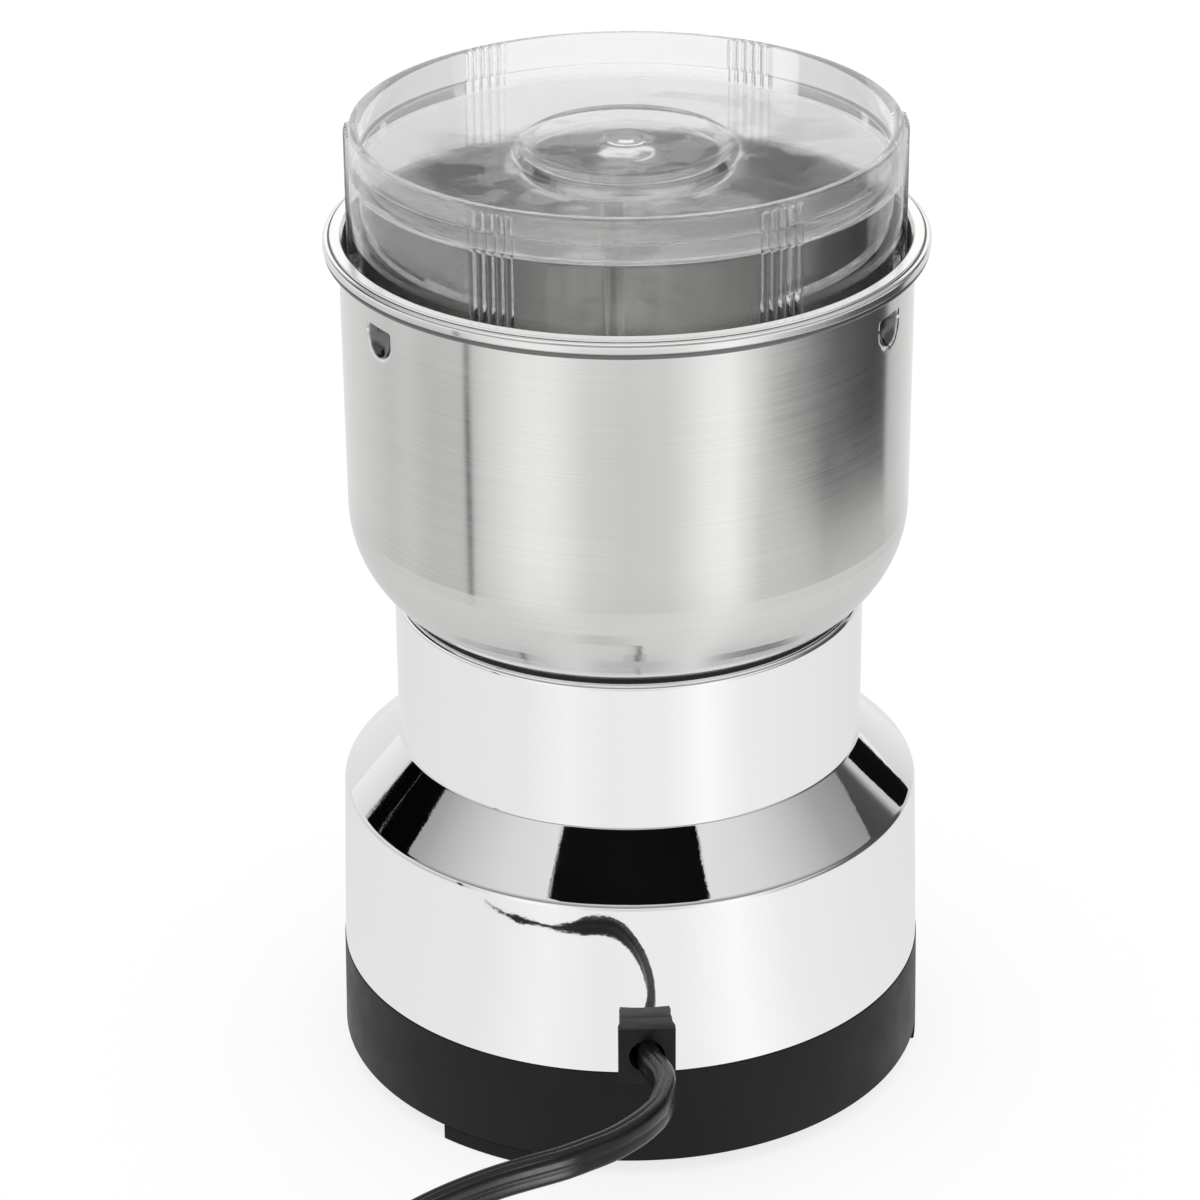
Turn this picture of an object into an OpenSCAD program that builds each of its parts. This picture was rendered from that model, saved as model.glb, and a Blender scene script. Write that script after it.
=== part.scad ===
// Electric spice grinder: a steel grinding cup on a plated housing that holds its motor.
// The origin is the centre of the footprint, on the table. +Z is up, the button faces -Y
// and the lead leaves at +Y.

/* [Base] */
// Outer diameter of the base at its foot
base_d = 100.3; // [98:0.1:106]
// How far the base's wall leans in up to the seam with the housing
base_lean = 0.3; // [0:0.05:0.6]
// Height of the three feet
foot_h = 2.7; // [1.5:0.1:5]
// Width of one foot, as an angle of the base
foot_angle = 15; // [8:1:24]
// Height of the seam between base and housing above the table
seam_z = 19.8; // [18:0.1:20.5]
// Wall thickness of the base and the housing
shell_wall = 2.2; // [1.6:0.1:2.6]
// Thickness of the base's floor
floor_t = 2.5; // [2:0.1:3]
// Number of cooling slots in the base's floor
vent_count = 12; // [6:1:16]

/* [Housing] */
// How far the drum's wall leans in up to the shoulder
drum_lean = 0.9; // [0.3:0.05:1.5]
// Height of the shoulder's lower edge
shoulder_z = 50.4; // [50:0.1:52]
// Height at which the shoulder meets the neck
neck_z = 59.9; // [59:0.1:62]
// Outer diameter of the neck
neck_d = 78.6; // [77:0.1:80]
// Height of the neck's top edge
neck_top = 86; // [85:0.1:88]
// Thickness of the web that carries the cup and the motor
web_t = 2.5; // [2:0.1:3]

/* [Cup] */
// How much smaller the cup is than the base, on each side
cup_inset = 3.65; // [3:0.05:4.5]
// How far inside the neck's edge the cup meets the height of the neck's top
cup_seat_in = 1.8; // [1.5:0.05:2]
// Height of the underside of the cup's floor
cup_z = 83.05; // [82.5:0.05:83.5]
// Thickness of the cup's steel
cup_t = 0.8; // [0.6:0.1:1]
// Height of the cup's rim
rim_z = 149.5; // [144:0.5:156]
// How far the rolled rim stands out of the wall
rim_out = 2.5; // [2:0.1:3.5]
// Height of the rolled rim
rim_h = 3.2; // [2.6:0.1:3.4]
// How far the cup's three lid stops lie below the rim
stop_drop = 6.3; // [5:0.1:9]

/* [Lid] */
// Room between the lid's wall and the cup
lid_gap = 1.4; // [1.2:0.05:2]
// Height of the lid
lid_h = 24.4; // [20:0.1:30]
// Wall thickness of the lid's upper ring
lid_wall = 1.8; // [1.4:0.1:2.2]
// How far the lid's disc lies below its top edge
lid_recess = 5; // [3:0.1:7]
// Thickness of the lid's disc
lid_disc_t = 2.4; // [1.6:0.1:3]
// Diameter of the raised middle of the disc
boss_d = 33.5; // [26:0.5:44]
// Height of the raised middle of the disc
boss_h = 1.8; // [1:0.1:2.5]
// Groups of grip ribs round the lid
rib_groups = 6; // [3:1:8]
// Ribs in one group
ribs = 5; // [3:1:7]
// Angle from rib to rib
rib_pitch = 2.05; // [1.9:0.05:2.6]
// Radius of one rib
rib_r = 0.6; // [0.4:0.05:0.6]

/* [Blade] */
// Diameter that the blade sweeps
blade_d = 64; // [50:1:72]
// Thickness of the blade
blade_t = 2; // [1.5:0.1:2.5]
// Angle at which the two wings rise
blade_rise = 9; // [4:1:12]
// Height of the blade's hub above the cup's floor
blade_lift = 8.7; // [8.3:0.1:10]

/* [Motor] */
// Diameter of the motor's shaft
shaft_d = 6; // [5:0.1:6.2]
// Diameter of the rotor's laminated core
rotor_d = 30; // [28:0.5:30]
// Air gap between the rotor and the stator
air_gap = 0.5; // [0.3:0.1:0.8]
// Height of the underside of both laminated cores
core_z = 40.5; // [40:0.1:41]
// Height of the laminated cores
core_h = 18; // [16:0.5:18]
// Width of the stator
stator_w = 62; // [60:0.5:64]
// Depth of the stator
stator_l = 54; // [52:0.5:56]
// Distance between the two long motor screws
screw_span = 53.2; // [52.6:0.1:54]
// Diameter of the cooling fan
fan_d = 44; // [36:1:45]
// Diameter of the commutator
commutator_d = 14; // [12:0.5:14]
// Running clearance of the shaft in its bearings
running_gap = 0.05; // [0.02:0.01:0.08]

/* [Button] */
// Width of the push button
button_w = 22; // [18:0.5:24]
// Height of the push button
button_h = 13; // [10:0.5:14]
// Height of the button's centre
button_z = 35; // [34.8:0.1:35.4]
// Travel of the button
button_travel = 2; // [1:0.1:2.2]
// How far the button stands out of the housing
button_proud = 2.5; // [2.3:0.1:2.8]

/* [Lead] */
// Width of the flat lead
cord_w = 5.4; // [5:0.1:5.6]
// Thickness of the flat lead
cord_t = 3.4; // [3:0.1:3.6]
// Width of the strain relief block
relief_w = 9.4; // [8.5:0.1:11]
// Height of the strain relief block
relief_h = 10.2; // [10:0.1:11]
// How far the strain relief stands out of the housing
relief_out = 3.5; // [3:0.05:5]

/* [Hidden] */

$fn = 96;
arc_step = 9; // degrees of arc from point to point
cut = 0.5; // how far a cut runs past the face that it opens
seat_gap = 0.2; // clearance of a part that drops into another
slide_gap = 0.3; // clearance of a part that slides

// --- Sizes of the shells -------------------------------------------------------------------
base_r = base_d / 2;
seam_r = base_r - base_lean;
neck_r = neck_d / 2;
housing_step = 0.1; // the housing is this much smaller than the base at the seam
drum_r = seam_r - housing_step - drum_lean;
floor_z = foot_h + floor_t; // top of the base's floor
lip_h = 2.2; // the base's lip stands this far up inside the housing
lip_t = 1.5;
lip_root = 3; // the wall thickens from here up to carry the lip
lip_low = seam_z - lip_root - 2;
lip_r = seam_r - housing_step - shell_wall - seat_gap;
drum_draft = drum_lean / (shoulder_z - seam_z);
neck_round = 1;
shoulder_round = 1.8;
gasket_r = neck_r - 1.4; // the gasket lies in a step inside the neck
gasket_z = neck_top - 2.7;
shoulder_slope = atan2(neck_z - shoulder_z, drum_r - neck_r);
// The inside of the shoulder lies one wall thickness, measured square to it, under the outside.
shoulder_drop = shell_wall * tan((90 - shoulder_slope) / 2);
boss_r = 3.3; // screw bosses inside the housing
boss_at = lip_r - lip_t - boss_r - 0.5;
boss_rib_t = 1.6;
screw_grip = 12; // length of a cover screw inside its boss
boss_top = shoulder_z + 1.7;
cover_screw_r = 1.4;
screw_head_r = 3;
screw_head_h = 1.3;
foot_turn = 55; // direction of the first foot
boss_turn = foot_turn + 60; // the screws lie between the feet
foot_peg_r = 2;
foot_depth = 12;
foot_peg_at = base_r - foot_depth / 2 - 1;
vent_w = 2.4;
vent_in = 16;
vent_out = 25;

function base_radius(z) = base_r - (z - foot_h) * (base_r - seam_r) / (seam_z - foot_h);
function drum_radius(z) = seam_r - housing_step - (z - seam_z) * drum_draft;

// --- Sizes of the cup and the lid ----------------------------------------------------------
cup_r = base_r - cup_inset;
cup_top_r = cup_r + 0.2;
rim_r = cup_top_r + rim_out;
cup_floor_z = cup_z + cup_t; // the floor that the spice lies on
// The cup's rounded bottom edge starts at its underside and passes the neck's top edge.
seat_run = cup_r - neck_r + cup_seat_in;
seat_rise = neck_top + 0.05 - cup_z;
cup_corner_r = seat_run + seat_rise + sqrt(2 * seat_run * seat_rise);
cup_hole_r = 8;
stop_w = 7.4;
stop_h = 3.6;
stop_depth = 2;
stop_bow_r = (pow(stop_w / 2, 2) + pow(stop_depth, 2)) / (2 * stop_depth);
stop_z = rim_z - stop_drop; // top of the stops, where the lid rests
lid_r = cup_top_r - cup_t - lid_gap;
lid_top = stop_z + lid_h;
lid_skirt_t = 1.5;
lid_disc_z = lid_top - lid_recess - lid_disc_t; // underside of the disc
lid_turn = -0.6; // direction of the first group of ribs
rib_end = 0.8; // the ribs stop this far from the lid's edges

// --- Sizes of the motor --------------------------------------------------------------------
shaft_r = shaft_d / 2;
web_gap = 1; // thickness of the rubber pad under the cup
web_top = cup_z - web_gap;
web_z = web_top - web_t;
seal_r = 11.5; // flange of the shaft bush
pad_r = 26;
stud_r = 2;
stud_at = 20;
stud_turn = 90;
nut_flats = 7;
nut_h = 3.2;
upper_plate_t = 3;
upper_plate_z = web_z - upper_plate_t;
upper_plate_r = 25;
bearing_r = 6;
bearing_boss_r = 8;
bearing_h = 7.5;
motor_post_r = 3.4;
motor_screw_r = 1.75;
motor_head_r = 3.1;
motor_head_h = 2.4;
plate_bar_w = 10; // bar from the plate's middle to the screws
blade_z = cup_floor_z + blade_lift;
bush_top = blade_z - 1.5;
felt_top = blade_z - 0.3;
blade_hub_r = 7;
blade_nut_h = 4;
shaft_top = blade_z + blade_t + blade_nut_h;
core_top = core_z + core_h;
rotor_slots = 12;
slot_w = 2;
slot_depth = 5;
screws_at = screw_span / 2;
window_from = 50; // the winding windows, as angles on each side
window_to = 180 - window_from;
end_turn_h = 4.5; // windings above and below the rotor's core
fan_z = core_top + 6;
fan_h = 5;
bore_r = rotor_d / 2 + air_gap;
coil_in = bore_r + 0.9;
coil_out = coil_in + 6;
coil_end_h = 5.4;
coil_side = window_from + 3; // the coil's side lies in the window
coil_half = coil_side + 13; // half the angle that a coil spans
commutator_r = commutator_d / 2;
commutator_z = core_z - end_turn_h - 9.5;
commutator_h = 9;
lower_plate_t = 3;
lower_plate_z = core_z - 21.5;
lower_plate_r = 27;
cooling_hole_r = 2.6;
lower_boss_z = lower_plate_z - 3;
shaft_bottom = lower_boss_z + 0.5;
cushion_r = 11;
cushion_z = 8;
brush_w = 6;
brush_h = 5;
brush_l = 9;
holder_wall = 1;
holder_in = commutator_r + 2;
holder_out = 23;
brush_z = commutator_z + 2.3; // underside of the brushes

// --- Sizes of the button, the switch and the lead ------------------------------------------
button_wall_y = -drum_radius(button_z); // outer face of the housing at the button
button_front = button_wall_y - button_proud;
button_bow_r = 60; // the front of the button is curved like the housing
flange_extra = 2; // the button's inner flange is this much larger all round
flange_t = 1.8;
flange_front = -(sqrt(pow(drum_radius(button_z + button_h / 2 + flange_extra) - shell_wall, 2)
    - pow(button_w / 2 + flange_extra, 2))) + slide_gap;
post_r = 3;
spring_l = 5.5; // room for the spring behind the button
bracket_t = 2;
bracket_y = flange_front + flange_t + spring_l + bracket_t; // the switch lies behind this face
post_end = bracket_y - bracket_t - 1.4;
switch_size = [20, 6.5, 9.6];
bracket_w = 26;
bracket_screw_x = bracket_w / 2 - 4.2;
bracket_screw_y = bracket_y + 4;
bracket_foot_y = bracket_y + 8;
bracket_side_h = 12;
small_head_r = 2;
small_head_h = 1.2;
bracket_top = button_z + 9;
plunger_r = 1.5;
plunger_back = bracket_y + 3.5;
relief_z = seam_z + 0.1; // the relief stands on the base's edge
relief_neck = 1; // the neck in the wall is this much smaller all round
exit_z = relief_z + relief_h / 2; // height of the lead's centre where it leaves the housing
exit_y = drum_radius(exit_z) + relief_out;
relief_hole_r = cord_w / 2 + 0.25;
capacitor_w = 8;
capacitor_l = 18;
capacitor_h = 11;
capacitor_at = capacitor_w + 2 - base_r + shell_wall;
connector_r = 3.6;
connector_h = 13;
connector_at = [base_r - shell_wall - 13, 16];
wire_d = 1.8;
wire_bend = 4; // room that a wire needs to turn
clamp_w = 18;
clamp_l = 7;
clamp_y = base_r - shell_wall - clamp_l - 2.5;
clamp_t = 2.5;
clamp_screw_x = clamp_w / 2 - 3;
clamp_grip = 9; // the clamp's screws reach this far below the lead

// Route of the lead from the strain relief to the coil: points on its centre line
cord_route = [
    [0, drum_radius(exit_z), exit_z], [0, exit_y - 1.4, exit_z], [-0.3, exit_y + 1.5, exit_z + 0.25],
    [-0.9, 57.5, 25.7], [-1.7, 60.3, 26.2], [-2.2, 63.3, 26.7], [-2.3, 66.2, 27.05], [-1.9, 69.2, 27.35],
    [-1.2, 72.1, 27.6], [-0.1, 74.9, 27.8], [1.4, 77.4, 28], [3.3, 79.8, 28.1], [5.4, 81.9, 28.1],
    [7.8, 83.7, 28], [10.5, 85.1, 27.8], [14.7, 86.7, 27.2], [19.5, 87.5, 26.3], [24.8, 88, 25],
    [30.2, 88.6, 23.3], [35.8, 89.7, 21.4], [41.1, 91.6, 19.5], [45.9, 94.4, 17.6], [50.4, 98.1, 15.6],
    [54.3, 102.5, 13.6], [57.3, 107.5, 11.8], [59.2, 113, 10.2], [60.1, 118.4, 8.85], [60.2, 124, 8.1]
];
// End of the lead, from the coil to the plug
tail_route = [
    [30, 154.2, 2.7], [25, 154.2, 3], [20, 154.2, 4], [15, 154.2, 5.4], [11, 154.2, 6.4],
    [8, 154.2, 6.8]
];
coil_centre = [30, 124];
coil_mean_r = 28.5; // middle of the turns
coil_layers = 2; // turns beside each other, and turns on each other
plug_x = 8; // where the lead enters the plug
plug_y = 154.2;
plug_neck_l = 10;
plug_l = 26;
plug_w = 25;
plug_t = 13.6;
pin_l = 19;
pin_r = 2;
pin_span = 19;

// --- Shapes that several parts share -------------------------------------------------------
function unit(v) = v / norm(v);

// A corner at b, between a and c, as points. b's third value is the radius that rounds it.
function corner(a, b, c) =
    let (
        u = unit([a.x - b.x, a.y - b.y]),
        v = unit([c.x - b.x, c.y - b.y]),
        r = len(b) > 2 ? b[2] : 0,
        half = acos(u * v) / 2,
        centre = [b.x, b.y] + unit(u + v) * r / sin(half),
        first = [b.x, b.y] + u * r / tan(half) - centre,
        turn = sign(cross(u, v)) * (2 * half - 180),
        steps = max(2, ceil(abs(turn) / arc_step))
    )
    r == 0 ? [[b.x, b.y]] : [
        for (i = [0:steps])
            let (t = turn * i / steps)
            centre + [first.x * cos(t) - first.y * sin(t), first.x * sin(t) + first.y * cos(t)]
    ];

// An outline from corners [x, y] or [x, y, rounding radius]
function outline(p) = [
    for (i = [0:len(p) - 1])
        each corner(p[(i + len(p) - 1) % len(p)], p[i], p[(i + 1) % len(p)])
];

module lathe(p) {
    rotate_extrude() polygon(outline(p));
}

// Round hole, bar or ring on the Z axis
module disc(r, z0, z1, at = [0, 0]) {
    translate([at.x, at.y, z0]) cylinder(h = z1 - z0, r = r);
}

module ring(r_in, r_out, z0, z1, at = [0, 0]) {
    translate([at.x, at.y, 0]) difference() {
        disc(r_out, z0, z1);
        disc(r_in, z0 - cut, z1 + cut);
    }
}

// Box given by its two corners
module block(low, high) {
    translate(low) cube(high - low);
}

// Sector between two angles, as a prism around the Z axis
module sector(r, from, to, z0, z1) {
    reach = r / cos((to - from) / 2) + 1;
    translate([0, 0, z0]) linear_extrude(z1 - z0)
        polygon([[0, 0], for (t = [0:4]) let (a = from + (to - from) * t / 4) reach * [cos(a), sin(a)]]);
}

// Part of a ring between two angles
module ring_part(r_in, r_out, from, to, z0, z1) {
    intersection() {
        ring(r_in, r_out, z0, z1);
        sector(r_out, from, to, z0 - cut, z1 + cut);
    }
}

// Pattern of copies at one radius around the Z axis
module around(count, r, turn = 0) {
    for (i = [0:count - 1])
        rotate([0, 0, turn + i * 360 / count]) translate([r, 0, 0]) children();
}

// Flat shape with round ends, standing on the XZ plane, from y0 to y1
module pill(w, h, z, y0, y1) {
    translate([0, y1, z]) rotate([90, 0, 0]) linear_extrude(y1 - y0) union() {
        for (side = [-1, 1])
            translate([side * (w - h) / 2, 0]) circle(d = h);
        square([w - h, h], center = true);
    }
}

// A section swept along a path; the second axis of the section leans towards up
module sweep(path, section, up = [0, 0, 1]) {
    n = len(section);
    last = len(path) - 1;
    points = [
        for (i = [0:last])
            let (
                along = unit(path[min(i + 1, last)] - path[max(i - 1, 0)]),
                across = unit(cross(along, up)),
                lift = cross(across, along)
            )
            for (s = section) path[i] + s.x * across + s.y * lift
    ];
    sides = [
        for (i = [0:last - 1])
            for (j = [0:n - 1])
                [i * n + j, i * n + (j + 1) % n, (i + 1) * n + (j + 1) % n, (i + 1) * n + j]
    ];
    ends = [[for (j = [n - 1:-1:0]) j], [for (j = [0:n - 1]) last * n + j]];
    polyhedron(points, concat(sides, ends), convexity = 8);
}

function oval(w, h, sides) = [for (i = [0:sides - 1]) [w / 2 * cos(i * 360 / sides), h / 2 * sin(i * 360 / sides)]];

// Helical spring along -Z from z = length to z = 0
module spring(r, wire, length, turns) {
    steps = 10;
    sweep([
        for (i = [0:turns * steps])
            let (t = i / (turns * steps))
            [r * cos(i * 360 / steps), r * sin(i * 360 / steps), wire / 2 + t * (length - wire)]
    ], oval(wire, wire, 6));
}

// --- Cup and lid ---------------------------------------------------------------------------
// Outside of the cup as a solid, grown or shrunk by grow, without the rim
module cup_solid(grow = 0) {
    lathe([
        [0, cup_z - grow], [cup_r + grow, cup_z - grow, cup_corner_r + grow],
        [cup_top_r + grow, rim_z - rim_h / 2], [0, rim_z - rim_h / 2]
    ]);
}

// One dent of the cup's wall, seen as the bulge that it makes inwards
module stop_bulge(grow) {
    top = stop_z - cup_t + grow;
    intersection() {
        translate([cup_top_r - stop_depth + stop_bow_r, 0, stop_z - cup_t - stop_h / 2])
            sphere(r = stop_bow_r + grow);
        block([cup_r - 6, -stop_w, top - stop_h - 2 * grow], [cup_r + 2, stop_w, top]);
    }
}

module cup() {
    rim_inner = cup_top_r - cup_t;
    color("lightgray") difference() {
        union() {
            difference() {
                union() {
                    cup_solid();
                    lathe([
                        [rim_inner - 1, rim_z - rim_h], [rim_r, rim_z - rim_h, 0.9],
                        [rim_r, rim_z, 1], [rim_inner - 1, rim_z]
                    ]);
                }
                lathe([
                    [0, cup_floor_z], [cup_r - cup_t, cup_floor_z, cup_corner_r - cup_t],
                    [rim_inner, rim_z - 1], [rim_inner + 0.7, rim_z], [rim_inner + 0.7, rim_z + cut],
                    [0, rim_z + cut]
                ]);
            }
            intersection() {
                around(3, 0, 30) stop_bulge(cup_t);
                cup_solid();
            }
            around(3, stud_at, stud_turn) disc(stud_r, upper_plate_z - nut_h - 1, cup_z + cup_t / 2);
        }
        around(3, 0, 30) stop_bulge(0);
        disc(cup_hole_r, cup_z - cut, cup_floor_z + cut);
    }
}

module lid() {
    inner_r = lid_r - lid_skirt_t;
    color("white", 0.4) union() {
        lathe([
            [0, lid_disc_z + boss_h], [boss_d / 2 - lid_disc_t / 2, lid_disc_z + boss_h, 1],
            [boss_d / 2 - lid_disc_t / 2 + 1, lid_disc_z, 1], [inner_r, lid_disc_z, 1],
            [inner_r, stop_z], [lid_r, stop_z, 0.2], [lid_r, lid_top, 0.8],
            [lid_r - lid_wall, lid_top, 0.8], [lid_r - lid_wall, lid_disc_z + lid_disc_t, 0.6],
            [boss_d / 2 + 1, lid_disc_z + lid_disc_t, 1],
            [boss_d / 2, lid_disc_z + lid_disc_t + boss_h, 1], [0, lid_disc_z + lid_disc_t + boss_h]
        ]);
        translate([0, 0, stop_z + rib_end]) linear_extrude(lid_h - 2 * rib_end) difference() {
            union() {
                circle(r = lid_r - 0.1);
                for (group = [0:rib_groups - 1])
                    for (i = [0:ribs - 1])
                        rotate(lid_turn + group * 360 / rib_groups + (i - (ribs - 1) / 2) * rib_pitch)
                            translate([lid_r + 0.35, 0]) circle(r = rib_r, $fn = 24);
            }
            circle(r = lid_r - 1);
        }
    }
}

module cup_gasket() {
    color("black") difference() {
        lathe([
            [neck_r - neck_round, neck_top], [neck_r - neck_round, neck_top + 3],
            [neck_r - shell_wall - 2.2, neck_top + 3], [neck_r - shell_wall - 2.2, gasket_z],
            [gasket_r, gasket_z], [gasket_r, neck_top]
        ]);
        cup_solid();
    }
}

module cup_pad() {
    color("black") difference() {
        ring(seal_r + 0.5, pad_r, web_top, cup_z);
        around(3, stud_at, stud_turn) disc(stud_r + seat_gap, web_top - cut, cup_z + cut);
    }
}

module mount_nuts() {
    color("silver") around(3, stud_at, stud_turn) difference() {
        translate([0, 0, upper_plate_z - nut_h])
            cylinder(h = nut_h, d = nut_flats / cos(30), $fn = 6);
        disc(stud_r, upper_plate_z - nut_h - cut, upper_plate_z + cut);
    }
}

// --- Housing and base ----------------------------------------------------------------------
// Outside of the housing as a solid
module housing_solid() {
    lathe([
        [0, seam_z], [seam_r - housing_step, seam_z], [drum_r, shoulder_z, shoulder_round],
        [neck_r, neck_z, 0.6], [neck_r, neck_top, neck_round], [0, neck_top]
    ]);
}

module housing() {
    inner_r = neck_r - shell_wall;
    color("gainsboro") difference() {
        union() {
            difference() {
                housing_solid();
                lathe([
                    [0, seam_z - cut], [seam_r - housing_step - shell_wall + cut * drum_draft, seam_z - cut],
                    [drum_r - shell_wall, shoulder_z - shoulder_drop, 1],
                    [inner_r, neck_z - shoulder_drop, 1], [inner_r, web_z], [0, web_z]
                ]);
                disc(inner_r, web_top, neck_top + cut);
                disc(gasket_r, gasket_z, neck_top + cut);
            }
            around(3, boss_at, boss_turn) {
                disc(boss_r, floor_z, boss_top);
                block(
                    [0, -boss_rib_t / 2, seam_z + lip_h + 1],
                    [drum_r - shell_wall / 2 - boss_at, boss_rib_t / 2, shoulder_z - 0.5]
                );
            }
        }
        disc(seal_r + seat_gap, web_z - cut, web_top + cut);
        around(3, stud_at, stud_turn) disc(stud_r + seat_gap, web_z - cut, web_top + cut);
        around(3, boss_at, boss_turn) disc(cover_screw_r, floor_z - cut, floor_z + screw_grip + 2);
        pill(button_w + 2 * slide_gap, button_h + 2 * slide_gap, button_z, button_front, flange_front);
        block(
            [relief_neck - relief_w / 2, lip_r - 3, relief_z + relief_neck],
            [relief_w / 2 - relief_neck, exit_y, relief_z + relief_h - relief_neck]
        );
    }
}

module base() {
    color("dimgray") difference() {
        union() {
            lathe([
                [0, foot_h], [base_r, foot_h, 0.4], [seam_r, seam_z, 0.3], [lip_r, seam_z],
                [lip_r, seam_z + lip_h, 0.3], [lip_r - lip_t, seam_z + lip_h, 0.3],
                [lip_r - lip_t, seam_z - lip_root], [base_radius(lip_low) - shell_wall, lip_low],
                [base_radius(floor_z) - shell_wall, floor_z], [0, floor_z]
            ]);
            disc(cushion_r, floor_z, cushion_z);
            ring(cushion_r + seat_gap, cushion_r + 2.2, floor_z, lower_boss_z - 1);
            block(
                [-clamp_w / 2, clamp_y - clamp_l / 2, floor_z - cut],
                [clamp_w / 2, clamp_y + clamp_l / 2, exit_z - cord_w / 2]
            );
        }
        disc(shaft_r + 2, foot_h - cut, cushion_z + cut);
        around(vent_count, 0, 15)
            block([vent_in, -vent_w / 2, foot_h - cut], [vent_out, vent_w / 2, floor_z + cut]);
        around(3, boss_at, boss_turn) {
            disc(cover_screw_r + seat_gap, foot_h - cut, floor_z + cut);
            disc(screw_head_r + seat_gap, foot_h - cut, foot_h + screw_head_h + seat_gap);
        }
        around(3, foot_peg_at, foot_turn) disc(foot_peg_r, foot_h - cut, floor_z + cut);
        // Gap in the lip for the strain relief's neck
        block(
            [relief_neck - relief_w / 2 - seat_gap, lip_r - lip_t - 1.5, relief_z + relief_neck - seat_gap],
            [relief_w / 2 - relief_neck + seat_gap, seam_r, seam_z + lip_h + cut]
        );
        for (side = [-1, 1]) {
            disc(cover_screw_r, exit_z - clamp_grip - 1, exit_z, [side * clamp_screw_x, clamp_y]);
            disc(cover_screw_r, foot_h - cut, floor_z + cut, [side * bracket_screw_x, bracket_screw_y]);
        }
    }
}

module feet() {
    color("black") for (i = [0:2]) rotate([0, 0, foot_turn + i * 120]) {
        ring_part(base_r - foot_depth, base_r, -foot_angle / 2, foot_angle / 2, 0, foot_h);
        disc(foot_peg_r, foot_h, floor_z, [foot_peg_at, 0]);
    }
}

// Screw on the Z axis with its head at z, pointing up for a positive length
module screw(z, r, head_r, head_h, length) {
    up = sign(length);
    disc(head_r, min(z, z + up * head_h), max(z, z + up * head_h));
    disc(r, min(z + up * head_h, z + length), max(z + up * head_h, z + length));
}

module cover_screws() {
    color("silver") around(3, boss_at, boss_turn)
        screw(foot_h + seat_gap, cover_screw_r, screw_head_r, screw_head_h, floor_t + screw_grip);
}

// --- Blade and shaft seal ------------------------------------------------------------------
module shaft_bush() {
    color("black") difference() {
        lathe([
            [0, web_z], [seal_r, web_z], [seal_r, cup_z], [cup_hole_r, cup_z],
            [cup_hole_r, cup_floor_z + 3, 0.5], [shaft_r + 3.5, bush_top, 0.8], [0, bush_top]
        ]);
        disc(shaft_r + running_gap, web_z - cut, bush_top + cut);
    }
}

module felt_washer() {
    color("gray") ring(shaft_r + running_gap, shaft_r + 3, bush_top, felt_top);
}

module blade() {
    color("lightgray") difference() {
        union() {
            disc(blade_hub_r, blade_z, blade_z + blade_t);
            for (side = [0, 180]) rotate([0, 0, side])
                translate([blade_hub_r - 2, 0, blade_z + blade_t / 2]) rotate([14, -blade_rise, 0])
                    translate([0, 0, -blade_t / 2]) linear_extrude(blade_t) polygon(outline([
                        [-2, -4.5], [blade_d / 2 - blade_hub_r - 4, -5.5, 3],
                        [blade_d / 2 - blade_hub_r + 1, 1.5, 2], [blade_d / 2 - blade_hub_r - 3, 4, 3],
                        [-2, 5.5]
                    ]));
        }
        disc(shaft_r, blade_z - 4, blade_z + blade_t + 4);
        disc(blade_hub_r + 1, blade_z + blade_t, blade_z + blade_t + 6);
        disc(blade_hub_r, blade_z - 6, blade_z);
    }
}

module blade_nut() {
    top = blade_z + blade_t;
    color("silver") difference() {
        union() {
            translate([0, 0, top]) cylinder(h = blade_nut_h, d = 11.5, $fn = 6);
            lathe([[0, top + blade_nut_h], [4.8, top + blade_nut_h], [4.6, top + 7.5, 3], [0, top + 7.5]]);
        }
        disc(shaft_r, top - cut, shaft_top);
    }
}

// --- Motor: turning parts ------------------------------------------------------------------
module motor_shaft() {
    color("silver") lathe([
        [0, shaft_bottom], [shaft_r, shaft_bottom, 0.4], [shaft_r, shaft_top, 0.4], [0, shaft_top]
    ]);
}

module rotor_core() {
    color("gray") difference() {
        ring(shaft_r, rotor_d / 2, core_z, core_top);
        around(rotor_slots, rotor_d / 2)
            block([-slot_depth, -slot_w / 2, core_z - cut], [cut, slot_w / 2, core_top + cut]);
    }
}

module rotor_windings() {
    inner = rotor_d / 2 - slot_depth;
    outer = rotor_d / 2 - 1;
    color("chocolate") union() {
        for (z = [core_z - end_turn_h, core_top])
            lathe([
                [shaft_r, z], [outer, z, 1.2], [outer, z + end_turn_h, 1.2], [shaft_r, z + end_turn_h]
            ]);
        around(rotor_slots, 0)
            block([inner, -slot_w / 2, core_z - 1], [outer - 1.2, slot_w / 2, core_top + 1]);
    }
}

module commutator() {
    color("peru") difference() {
        ring(shaft_r, commutator_r, commutator_z, commutator_z + commutator_h);
        around(24, commutator_r)
            block([-0.5, -0.2, commutator_z + 1], [cut, 0.2, commutator_z + commutator_h + cut]);
    }
}

module cooling_fan() {
    color("white") difference() {
        union() {
            disc(7, fan_z, fan_z + fan_h);
            disc(fan_d / 2, fan_z, fan_z + 1);
            around(10, 0) block([6, -0.5, fan_z], [fan_d / 2 - 1, 0.5, fan_z + fan_h]);
        }
        disc(shaft_r, fan_z - cut, fan_z + fan_h + cut);
    }
}

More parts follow.
